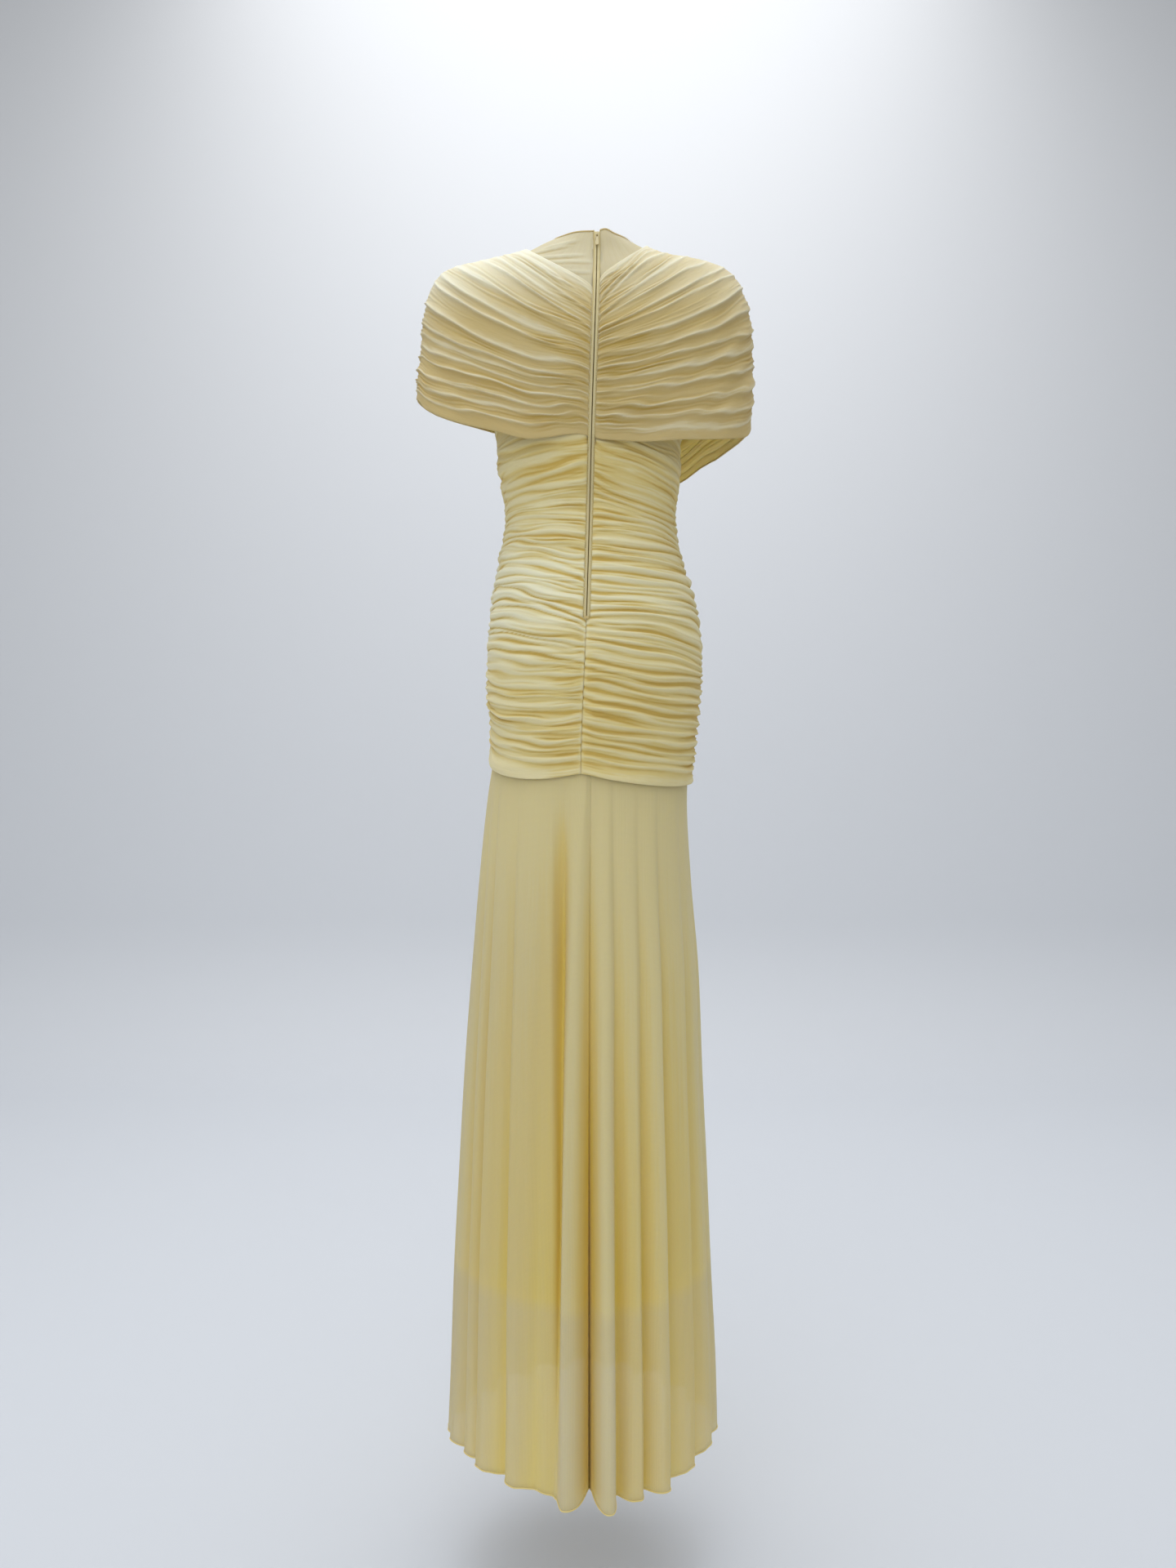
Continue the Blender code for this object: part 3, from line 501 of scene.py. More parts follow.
@dataclass
class Cloth:
    """Grid of points of one sheet of cloth, before it becomes an object.

    Rows run down the sheet and columns across it. Each layer has one number a point.
    """

    points: Array
    fold: Array | float
    veil: Array | float = 1.0
    pale: Array | float = 0.0
    closed: bool = False

    def __post_init__(self) -> None:
        """Spread each layer over every point."""
        for name in LAYERS:
            setattr(self, name, np.broadcast_to(getattr(self, name), self.points.shape[:2]))

    def normals(self) -> Array:
        """Outward unit normals of the grid.

        Returns:
            One vector a point.
        """
        across = np.gradient(self.points, axis=1)
        if self.closed:
            wrapped = np.concatenate((self.points[:, -1:], self.points, self.points[:, :1]), axis=1)
            across = (wrapped[:, 2:] - wrapped[:, :-2]) / 2
        normal = unit(np.cross(across, np.gradient(self.points, axis=0)))
        outward = self.points * (1.0, 1.0, 0.0) + (0.0, 0.0, 0.03)
        return normal if np.sum(normal * outward) > 0 else -normal

    def lift(self, height: Array | float) -> None:
        """Move the sheet out along its normals."""
        self.points = self.points + self.normals() * np.asarray(height)[..., None]

    def keep_behind(self, side: Side, edge: Array) -> None:
        """Keep a back half on its side of an edge line, and behind the body's middle.

        Args:
            side: Half of the back.
            edge: Place of the edge line beside each point.
        """
        x = self.points[..., 0]
        self.points[..., 0] = np.where(x * side.value < edge * side.value, edge, x)
        self.points[..., 1] = np.maximum(self.points[..., 1], NUDGE)

    def keep_in_front(self) -> None:
        """Keep a front in front of the body's middle."""
        self.points[..., 1] = np.minimum(self.points[..., 1], -NUDGE)

    def turn_under(self, radius: float, at_end: bool = True, steps: int = 5) -> None:
        """Roll one long edge under, as a folded edge is.

        Args:
            radius: Radius of the roll.
            at_end: Whether the last row is the edge, and not the first.
            steps: Rows that the roll adds.
        """
        if not at_end:
            self.flip_rows()
        normal = self.normals()[-1]
        down = unit(self.points[-1] - self.points[-3])
        rows = [self.points]
        for step in range(1, steps + 1):
            turn = 1.25 * math.pi * step / steps
            roll = down * math.sin(turn) - normal * (1 - math.cos(turn))
            rows.append((self.points[-1] + roll * radius)[None])
        self.points = np.concatenate(rows)
        for name in LAYERS:
            layer = getattr(self, name)
            setattr(self, name, np.concatenate((layer, np.repeat(layer[-1:], steps, axis=0))))
        if not at_end:
            self.flip_rows()

    def flip_rows(self) -> None:
        """Turn the order of the rows round."""
        for name in ("points", *LAYERS):
            setattr(self, name, getattr(self, name)[::-1])

    def area(self) -> float:
        """Area of one face of the sheet.

        Returns:
            Square metres.
        """
        points = np.concatenate((self.points, self.points[:, :1]), axis=1) if self.closed else self.points
        across, down, diagonal = (points[:-1, 1:], points[1:, :-1], points[1:, 1:]) - points[:-1, :-1]
        twice = [np.linalg.norm(np.cross(side, diagonal), axis=-1).sum() for side in (across, down)]
        return float(sum(twice) / 2)

    def to_object(self, name: str, material: Material, thickness: float,
                  inside: Material | None = None) -> Object:
        """Make the sheet an object whose wall has a thickness inwards.

        Args:
            name: Name of the piece.
            material: Finish of the piece.
            thickness: Thickness of the cloth.
            inside: Finish of its inner face, where that differs.

        Returns:
            The new object.
        """
        LOG.info("%s: %.3f m2", name, self.area())
        rows, columns = self.points.shape[:2]
        index = np.arange(rows * columns).reshape(rows, columns)
        if self.closed:
            index = np.concatenate((index, index[:, :1]), axis=1)
        quads = np.stack((index[:-1, :-1], index[:-1, 1:], index[1:, 1:], index[1:, :-1]), axis=-1)
        middle = rows // 2
        across, down = (self.points[middle, 1], self.points[middle + 1, 0]) - self.points[middle, 0]
        if np.dot(np.cross(across, down), self.normals()[middle, 0]) < 0:
            quads = quads[..., ::-1]
        mesh = bpy.data.meshes.new(name)
        mesh.from_pydata(self.points.reshape(-1, 3).tolist(), [], quads.reshape(-1, 4).tolist())
        self.write_layers(mesh, columns)
        mesh.shade_smooth()
        mesh.materials.append(material)
        obj = add_object(name, mesh)
        wall = obj.modifiers.new("cloth_wall", "SOLIDIFY")
        wall.thickness = thickness
        wall.offset = -1.0
        if inside:
            mesh.materials.append(inside)
            wall.material_offset = 1
        return obj

    def write_layers(self, mesh: Mesh, columns: int) -> None:
        """Write the layers and the unrolled cloth's coordinates to a mesh.

        Args:
            mesh: Mesh of the sheet.
            columns: Number of columns of its grid.
        """
        for name in LAYERS:
            write_layer(mesh, name, getattr(self, name))
        steps_across = np.linalg.norm(np.diff(self.points, axis=1), axis=-1).mean(axis=0)
        steps_down = np.linalg.norm(np.diff(self.points, axis=0), axis=-1).mean(axis=1)
        across = np.concatenate(((0.0,), np.cumsum(steps_across))) / UV_METRES
        down = np.concatenate(((0.0,), np.cumsum(steps_down))) / UV_METRES
        corners = corner_points(mesh)
        column, row = corners % columns, corners // columns
        u = across[column]
        if self.closed:
            face = np.arange(len(corners)) // 4
            wraps = (column == 0) & (face % columns == columns - 1)
            u = np.where(wraps, across[-1] + steps_across[-1] / UV_METRES, u)
        write_uv(mesh, np.stack((u, down[row]), axis=-1))


def declare(piece: Object, nodes: Sequence[str] = (), body: str = BODY) -> None:
    """Give a piece its body and the nodes that it stands for.

    Args:
        piece: Piece of the dress.
        nodes: Nodes of the part that it stands for.
        body: Body that it rides on.
    """
    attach(piece, body)
    if nodes:
        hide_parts(*nodes)
    LOG.info("%s: %d faces", piece.name, len(piece.data.polygons) if piece.type == "MESH" else 0)


class NodeGroups:
    """Shader node groups that several finishes share."""

    def __init__(self) -> None:
        """Build each group once."""
        self.weave = self.build_weave()
        self.crinkle = self.build_crinkle()

    @staticmethod
    def start(name: str, inputs: dict[str, float],
              outputs: Sequence[str]) -> tuple[Wiring, dict[str, NodeSocket], Node]:
        """Start a shader group that reads a vector.

        Args:
            name: Name of the group.
            inputs: Default of each input after the vector.
            outputs: Name of each output.

        Returns:
            The group's wiring, the sockets of its inputs, and its output node.
        """
        wires = Wiring(bpy.data.node_groups.new(name, "ShaderNodeTree"))
        new_socket = wires.tree.interface.new_socket
        new_socket("Vector", in_out="INPUT", socket_type="NodeSocketVector")
        for label, default in inputs.items():
            new_socket(label, in_out="INPUT", socket_type="NodeSocketFloat").default_value = default
        for label in outputs:
            new_socket(label, in_out="OUTPUT", socket_type="NodeSocketFloat")
        return wires, wires.add("NodeGroupInput").outputs, wires.add("NodeGroupOutput")

    def build_weave(self) -> NodeTree:
        """Fine knitted mesh: rounded yarns that cross around small holes.

        Returns:
            The group, which gives the yarn's height and where it is closed.
        """
        wires, given, end = self.start("mesh_weave", {"Pitch": 0.001}, ("Height", "Yarn"))
        turns = wires.maths("DIVIDE", math.pi * UV_METRES, given["Pitch"])
        scaled = wires.add("VectorMath", {0: given["Vector"], "Scale": turns}, operation="SCALE")
        parts = wires.add("SeparateXYZ", {0: scaled.outputs[0]})
        waves = [wires.maths("ABSOLUTE", wires.maths("SINE", parts.outputs[axis])) for axis in "XY"]
        height = wires.maths("SUBTRACT", 1.0, wires.maths("MULTIPLY", *waves))
        yarn = wires.add("MapRange", {"From Min": 0.05, "From Max": 0.45, "Value": height})
        wires.feed(end, {"Height": height, "Yarn": yarn.outputs["Result"]})
        return wires.tree

    def build_crinkle(self) -> NodeTree:
        """Soft streaks along the cloth, as stretch mesh shows when it hangs or is gathered.

        Returns:
            The group, which gives the streaks' strength.
        """
        wires, given, end = self.start("mesh_crinkle", {"Across": 300.0, "Along": 12.0}, ("Streak",))
        stretch = wires.add("CombineXYZ", {"X": given["Across"], "Y": given["Along"]})
        scaled = wires.add("VectorMath", {0: given["Vector"], 1: stretch.outputs[0]}, operation="MULTIPLY")
        noise = wires.add("TexNoise", {"Scale": 1.0, "Detail": 4.0, "Roughness": 0.55,
                                       "Vector": scaled.outputs[0]})
        wires.feed(end, {"Streak": noise.outputs["Fac"]})
        return wires.tree


@dataclass(frozen=True)
class MeshFinish:
    """Semi-sheer stretch mesh with painted shade: deeper in colour down into its folds, from the crest
    colour to the valley colour.
    """

    name: str
    crest: Triple
    middle: Triple
    valley: Triple
    pale: Triple = (0.96, 0.90, 0.67)
    cover: float = 1.0
    pitch: float = 0.0011
    streak_across: float = 500.0
    streak_along: float = 14.0
    streak_depth: float = 0.0005
    roughness: float = 0.80
    glow: float = 0.22
    sheen: float = 0.12

    def build(self, groups: NodeGroups) -> Material:
        """Make the material.

        Args:
            groups: Shared node groups.

        Returns:
            The material, which reads the piece's cloth coordinates and layers.
        """
        material, wires, shader = new_material(self.name, {
            "Roughness": self.roughness, "Specular IOR Level": 0.25,
            "Sheen Weight": self.sheen, "Sheen Roughness": 0.45,
            "Subsurface Weight": self.glow, "Subsurface Scale": 0.003,
            "Subsurface Radius": (1.0, 0.75, 0.35)})
        place = wires.add("UVMap", uv_map="cloth").outputs[0]
        crinkle = {"Across": self.streak_across, "Along": self.streak_along, "Vector": place}
        streak = wires.add("Group", crinkle, node_tree=groups.crinkle).outputs["Streak"]
        # Painted shade: the fold layer and the streaks move the colour from crest to valley
        depth = wires.maths("MULTIPLY_ADD", streak, 0.30, wires.maths("SUBTRACT", wires.layer("fold"), 0.15))
        ramp = wires.ramp(depth, ((0.0, self.crest), (0.45, self.middle), (1.0, self.valley)), "EASE")
        # The pale layer mixes in the pale colour, which is painted light and shade on some pieces
        mixed = wires.add("Mix", {0: wires.layer("pale"), 6: ramp, 7: (*self.pale, 1.0)}, data_type="RGBA")
        weave = wires.add("Group", {"Pitch": self.pitch, "Vector": place}, node_tree=groups.weave).outputs
        fine = wires.add("Bump", {"Distance": 0.00015, "Strength": 0.5, "Height": weave["Height"]})
        soft = wires.add("Bump", {"Distance": self.streak_depth, "Strength": 0.8, "Height": streak,
                                  "Normal": fine.outputs[0]})
        wires.feed(shader, {"Base Color": mixed.outputs[2], "Normal": soft.outputs[0]})
        if self.cover < 1.0:
            yarn = wires.add("MapRange", {"To Min": self.cover - 0.06, "To Max": self.cover + 0.06,
                                          "Value": weave["Yarn"]})
            shut = wires.maths("SUBTRACT", 1.0, wires.layer("veil"))
            joined = wires.add("Mix", {0: shut, 2: yarn.outputs["Result"], 3: 1.0}, data_type="FLOAT")
            wires.feed(shader, {"Alpha": joined.outputs[0]})
        material.diffuse_color = (*self.middle, 1.0)
        return material


@dataclass(frozen=True)
class PaintedMetal:
    """Enamelled zip metal with a little wear in its paint."""

    name: str = "painted_zip_metal"
    colour: Triple = (0.62, 0.50, 0.22)
    worn: Triple = (0.70, 0.62, 0.40)
    roughness: float = 0.32

    def build(self) -> Material:
        """Make the material.

        Returns:
            The material, which reads object coordinates.
        """
        material, wires, shader = new_material(self.name, {"Coat Weight": 0.3})
        place = wires.add("TexCoord").outputs["Object"]
        noise = wires.add("TexNoise", {"Scale": 900.0, "Vector": place}).outputs["Fac"]
        colour = wires.ramp(noise, ((0.55, self.colour), (0.75, self.worn)))
        rough = wires.add("MapRange", {"To Min": self.roughness - 0.05, "To Max": self.roughness + 0.15,
                                       "Value": noise})
        wires.feed(shader, {"Base Color": colour, "Roughness": rough.outputs["Result"]})
        return material


@dataclass(frozen=True)
class ThreadFinish:
    """Matt sewing thread with a twist along it."""

    name: str = "yellow_thread"
    light: Triple = (0.80, 0.68, 0.36)
    dark: Triple = (0.62, 0.48, 0.18)

    def build(self) -> Material:
        """Make the material.

        Returns:
            The material, which reads object coordinates.
        """
        material, wires, shader = new_material(self.name, {"Roughness": 0.6})
        place = wires.add("TexCoord").outputs["Object"]
        twist = wires.add("TexWave", {"Scale": 900.0, "Vector": place}, bands_direction="DIAGONAL")
        colour = wires.ramp(twist.outputs["Fac"], ((0.0, self.dark), (1.0, self.light)))
        wires.feed(shader, {"Base Color": colour})
        return material


# Streaks of gathered cloth, which run along its folds
GATHERED = {"streak_across": 120.0, "streak_along": 700.0}


class Wardrobe:
    """Every finish of the dress, built once."""

    def __init__(self) -> None:
        """Build the materials."""
        groups = NodeGroups()
        # Its pale colour is the bodice's painted highlight
        self.ruched = MeshFinish(
            "ruched_mesh_cloth", (0.87, 0.75, 0.42), (0.80, 0.63, 0.255), (0.67, 0.46, 0.115),
            pale=(0.95, 0.885, 0.60), streak_depth=0.0006, **GATHERED).build(groups)
        # Darker, more golden copy of the ruched mesh: partly its double layer, partly painted shade
        self.drape = MeshFinish(
            "drape_mesh_cloth", (0.78, 0.68, 0.44), (0.62, 0.475, 0.21), (0.53, 0.365, 0.095),
            streak_depth=0.0006, **GATHERED).build(groups)
        # Painted light: the front drape's inner face is brighter and warmer, as if lit through the cloth
        self.drape_inside = MeshFinish(
            "drape_inside_cloth", (0.98, 0.80, 0.52), (0.97, 0.75, 0.42), (0.95, 0.69, 0.31),
            glow=0.45, **GATHERED).build(groups)
        # Painted light: the valley colour is as light as the crest and more golden, for light bounced into
        # the folds; its pale colour, greyer and darker, paints shade
        self.sheer = MeshFinish(
            "sheer_mesh_cloth", (0.93, 0.785, 0.40), (0.95, 0.735, 0.26), (1.0, 0.76, 0.16),
            pale=(0.755, 0.645, 0.40), cover=0.72).build(groups)
        self.yoke = MeshFinish(
            "yoke_mesh_cloth", (0.80, 0.715, 0.475), (0.70, 0.585, 0.34), (0.52, 0.39, 0.14),
            cover=0.82).build(groups)
        self.lining = MeshFinish(
            "lining_knit_cloth", (0.97, 0.83, 0.46), (0.95, 0.78, 0.36), (0.86, 0.64, 0.20),
            pitch=0.0007, streak_depth=0.0002).build(groups)
        self.welt = MeshFinish(
            "zip_welt_cloth", (0.72, 0.60, 0.32), (0.62, 0.48, 0.20), (0.46, 0.32, 0.10),
            pitch=0.0008, sheen=0.04).build(groups)
        # Painted shade: the tape is dark brown, for the shade in the narrow gap between the welts
        self.tape = MeshFinish(
            "zip_tape_cloth", (0.50, 0.36, 0.11), (0.46, 0.32, 0.09), (0.40, 0.27, 0.07),
            pitch=0.0007, glow=0.0, sheen=0.0).build(groups)
        self.metal = PaintedMetal().build()
        self.thread = ThreadFinish().build()


@dataclass(frozen=True)
class Stitch:
    """Size of one stitch or tooth, and the distance from one to the next."""

    pitch: float
    length: float
    width: float


class StitchRun:
    """Geometry Nodes tree that sets small rounded pieces along a path."""

    def __init__(self) -> None:
        """Build the tree with its named inputs."""
        wires = Wiring(bpy.data.node_groups.new("stitches_along_path", "GeometryNodeTree"))
        self.tree = wires.tree
        self.inputs: dict[str, str] = {}
        for name, kind in zip(("Geometry", "Pitch", "Length", "Width", "Material"),
                              ("Geometry", "Float", "Float", "Float", "Material")):
            socket = self.tree.interface.new_socket(name, in_out="INPUT", socket_type="NodeSocket" + kind)
            self.inputs[name] = socket.identifier
        self.tree.interface.new_socket("Geometry", in_out="OUTPUT", socket_type="NodeSocketGeometry")
        given = wires.add("NodeGroupInput").outputs
        along = {"Curve": given["Geometry"], "Length": given["Pitch"]}
        spaced = wires.add("GeometryNodeResampleCurve", along, mode="LENGTH")
        bead = wires.add("GeometryNodeMeshIcoSphere", {"Subdivisions": 2, "Radius": 1.0})
        tangent = wires.add("GeometryNodeInputTangent").outputs[0]
        turned = wires.add("FunctionNodeAlignRotationToVector", {"Vector": tangent}, axis="Z")
        width, length = (wires.maths("MULTIPLY", given[name], 0.5) for name in ("Width", "Length"))
        size = wires.add("CombineXYZ", {"X": width, "Y": width, "Z": length})
        placed = wires.add("GeometryNodeInstanceOnPoints", {
            "Points": spaced.outputs[0], "Instance": bead.outputs["Mesh"], "Rotation": turned.outputs[0],
            "Scale": size.outputs[0]})
        real = wires.add("GeometryNodeRealizeInstances", {0: placed.outputs[0]}).outputs[0]
        finish = wires.add("GeometryNodeSetMaterial", {"Geometry": real, "Material": given["Material"]})
        wires.add("NodeGroupOutput", {0: finish.outputs[0]})

    def sew(self, name: str, path: Array, stitch: Stitch, material: Material) -> Object:
        """Sew along a path and keep the result as a plain mesh.

        Args:
            name: Name of the piece.
            path: Points of the line of stitches.
            stitch: Size of the stitches.
            material: Finish of the thread.

        Returns:
            The mesh object of the stitches.
        """
        curve = bpy.data.curves.new(name + "_path", "CURVE")
        curve.dimensions = "3D"
        spline = curve.splines.new("POLY")
        spline.points.add(len(path) - 1)
        spline.points.foreach_set("co", np.column_stack((path, np.ones(len(path)))).ravel())
        guide = add_object(name + "_path", curve)
        modifier = guide.modifiers.new("stitches", "NODES")
        modifier.node_group = self.tree
        modifier[self.inputs["Material"]] = material
        for key in ("Pitch", "Length", "Width"):
            modifier[self.inputs[key]] = getattr(stitch, key.lower())
        mesh = bpy.data.meshes.new_from_object(guide.evaluated_get(bpy.context.evaluated_depsgraph_get()))
        mesh.name = name
        mesh.shade_smooth()
        bpy.data.objects.remove(guide, do_unlink=True)
        return add_object(name, mesh)


# Places of a crease's knots across a panel
CREASE_KNOTS = (0.0, 1 / 3, 2 / 3, 1.0)
# Share of a panel's width over which folds calm down towards a seam
CALM_REACH = 0.08
# Distance from which a main fold is no longer felt, in millimetres
FAR_MM = 14.0


def seam_window(across: Array, reach: float) -> Array:
    """0 at both seams of a panel and 1 beyond a reach from them, so that neighbours meet."""
    return smooth_step(np.minimum(across, 1 - across) / reach)


class FoldStyle(Enum):
    """How a gathered panel folds: puffed between its creases, or drawn into narrow ridges."""

    PUFFED = "puffed"
    RIDGED = "ridged"


@dataclass(frozen=True)
class Crease:
    """Line where two gathered folds meet.

    Its places are at the centre back, one and two thirds along, and at the side. Its
    depth is in millimetres, and it may start and end part of the way across.
    """

    places: tuple[float, ...]
    depth: float
    start: float = 0.0
    end: float = 1.0
    waver: float = 0.25
    turn: float = 0.0

    def line(self, across: Array) -> Array:
        """Place of the crease along the panel."""
        return np.polyval(np.polyfit(CREASE_KNOTS, self.places, 3), across)

    def strength(self, across: Array) -> Array:
        """Share of the fold's depth along the crease.

        Args:
            across: Place from the centre to the side, 0 to 1.

        Returns:
            Factor at each place.
        """
        strength = 1 + self.waver * np.sin(7 * across + self.turn) * seam_window(across, CALM_REACH)
        if self.start > 0.0:
            strength = strength * smooth_step((across - self.start) / 0.16)
        if self.end < 1.0:
            strength = strength * smooth_step((self.end - across) / 0.16)
        return strength


@dataclass(frozen=True)
class Gathers:
    """Rounded folds of a gathered panel, slighter creases between them, and puckers at its seams."""

    folds: tuple[Crease, ...]
    creases: tuple[Crease, ...]
    seed: int
    style: FoldStyle = FoldStyle.PUFFED
    swell: float = 0.92
    fine: float = 0.12
    warp: float = 1.3

    @classmethod
    def from_rows(cls, rows: Rows, seed: int, span: tuple[float, float], pitch: float,
                  style: FoldStyle = FoldStyle.PUFFED) -> Gathers:
        """Make the folds of a panel from a table.

        Args:
            rows: Four places and a depth in millimetres of each main fold.
            seed: Seed of the slighter folds.
            span: First and last place of the puckers.
            pitch: Distance between puckers, as a place.
            style: How the folds stand.

        Returns:
            The folds.
        """
        rng = np.random.default_rng(seed)
        folds = tuple(Crease(row[:4], row[4], waver=rng.uniform(0.15, 0.6), turn=rng.uniform(0, 6))
                      for row in rows)
        creases = []
        for upper, lower in zip(rows, rows[1:]):
            for _ in range(3):
                share = rng.uniform(0.15, 0.85)
                slant = rng.uniform(-0.5, 0.5)
                places = tuple(a + (b - a) * (share + slant * (knot - 0.5))
                               for knot, a, b in zip(CREASE_KNOTS, upper, lower))
                middle = rng.uniform(0.0, 1.0)
                half = rng.uniform(0.18, 0.50)
                start, end = max(middle - half, 0.0), min(middle + half, 1.0)
                creases.append(Crease(places, rng.uniform(0.6, 2.1), start, end))
        for seam in (0, 1):
            place = span[0]
            while place < span[1]:
                reach = rng.uniform(0.10, 0.36)
                slope = rng.uniform(-0.5, 0.5) * pitch
                places = tuple(place + slope * abs(knot - seam) * 3 for knot in CREASE_KNOTS)
                start, end = (0.0, reach) if seam == 0 else (1 - reach, 1.0)
                creases.append(Crease(places, rng.uniform(0.9, 2.2), start, end))
                place += pitch * rng.uniform(0.55, 1.4)
        return cls(folds, tuple(creases), seed, style)

    def relief(self, across: Array, place: Array, length: Array | float) -> tuple[Array, Array]:
        """Height of the folds, and the painted shade that deepens the colour in their valleys.

        Args:
            across: Place from the centre to the side, 0 to 1.
            place: Place down the panel, in the units of the creases.
            length: Metres down the panel for one unit of place.

        Returns:
            The height in metres, and the painted shade by depth, from 0 on a crest to 1 in a valley.
        """
        down = place * length * 1000
        calm = seam_window(across, CALM_REACH)
        place = place + self.warp * calm * ripple(self.seed + 4, across * 2.2, down / 24) / (length * 1000)
        ridged = self.style is FoldStyle.RIDGED
        above = below = np.full_like(down, FAR_MM)
        above_depth = below_depth = np.ones_like(down)
        sharpness = np.full_like(down, 1.9)
        for crease in self.folds:
            d = (place - crease.line(across)) * length * 1000 + (1.8 if ridged else 0.0)
            depth = np.clip((crease.depth / 2.7) ** 1.7 * crease.strength(across), 0.15, 1.25)
            nearer = (d >= 0) & (d < above)
            above = np.where(nearer, d, above)
            above_depth = np.where(nearer, depth, above_depth)
            nearer = (d < 0) & (-d < below)
            below = np.where(nearer, -d, below)
            below_depth = np.where(nearer, depth, below_depth)
            sharpness = np.where(nearer, 1.25 + 0.25 * crease.turn, sharpness)
        gap = above + below
        share = above / gap
        weight = above_depth * (1 - share) + below_depth * share
        if ridged:
            fall = np.exp(-(above / (2.0 * np.clip(gap / 10, 0.6, 1.3))) ** 1.4)
            profile = 1 - (1 - share ** sharpness) * (1 - fall)
            height = self.swell * np.sqrt(gap) * profile * weight
            shade = 0.62 * np.clip(weight, 0, 1) * (1 - profile)
        else:
            profile = np.sin(np.pi * share ** 1.5) ** 0.95
            height = 1.15 * self.swell * np.sqrt(np.minimum(gap, 12.0)) * (1 - (1 - profile) * weight)
            shade = 0.85 * weight * (1 - profile) ** 1.8
        height = height * (1 + 0.28 * calm * ripple(self.seed + 5, across * 1.3, down / 28))
        at_seam = seam_window(across, 0.025)
        for crease in self.creases:
            d = (place - crease.line(across)) * length * 1000
            slim = min(max(crease.depth / 1.6, 0.75), 1.0)
            groove = np.exp(-(d / (1.25 * slim)) ** 2)
            sides = sum(np.exp(-((d + side * 2.5 * slim) / (2.0 * slim)) ** 2) for side in (1, -1))
            strength = crease.depth * crease.strength(across) * at_seam
            if ridged:
                height += strength * (0.55 * groove - 0.25 * sides)
                shade += 0.12 * strength * (sides - groove)
            else:
                height += strength * (0.22 * sides - 0.55 * groove)
                shade += 0.24 * strength * groove
        height += 0.5 * calm * ripple(self.seed + 1, across * 1.5, down / 60)
        height += self.fine * calm * ripple(self.seed + 2, across * 2.5, down / 6.5, 9)
        height = 0.2 + 0.5 * np.logaddexp(0.0, (height - 0.2) / 0.5)
        return height / 1000, np.clip(shade, 0.0, 1.0)


def seam_groove(distance: Array, depth: float = 0.0009, width: float = 0.0020) -> Array:
    """How far cloth dips where it is drawn into a seam."""
    return -depth * np.exp(-(distance / width) ** 2)


def joined_folds(left: Rows, right: Rows, wander: float, seed: int) -> Rows:
    """Folds of a front panel that run on from the folds of both back halves.

    Args:
        left: Folds of the back's left half.
        right: Folds of its right half.
        wander: How far a fold may stray on its way, as a place.
        seed: Seed of the straying.

    Returns:
        Rows of the same kind, from the left side to the right side.
    """
    rng = np.random.default_rng(seed)
    rows = []
    for a, b in zip(left, right):
        first, last = a[3], b[3]
        stray = rng.uniform(-wander, wander, 2)
        rows.append((first, first + (last - first) / 3 + stray[0], first + (last - first) * 2 / 3 + stray[1],
                     last, (a[4] + b[4]) / 2))
    return tuple(rows)


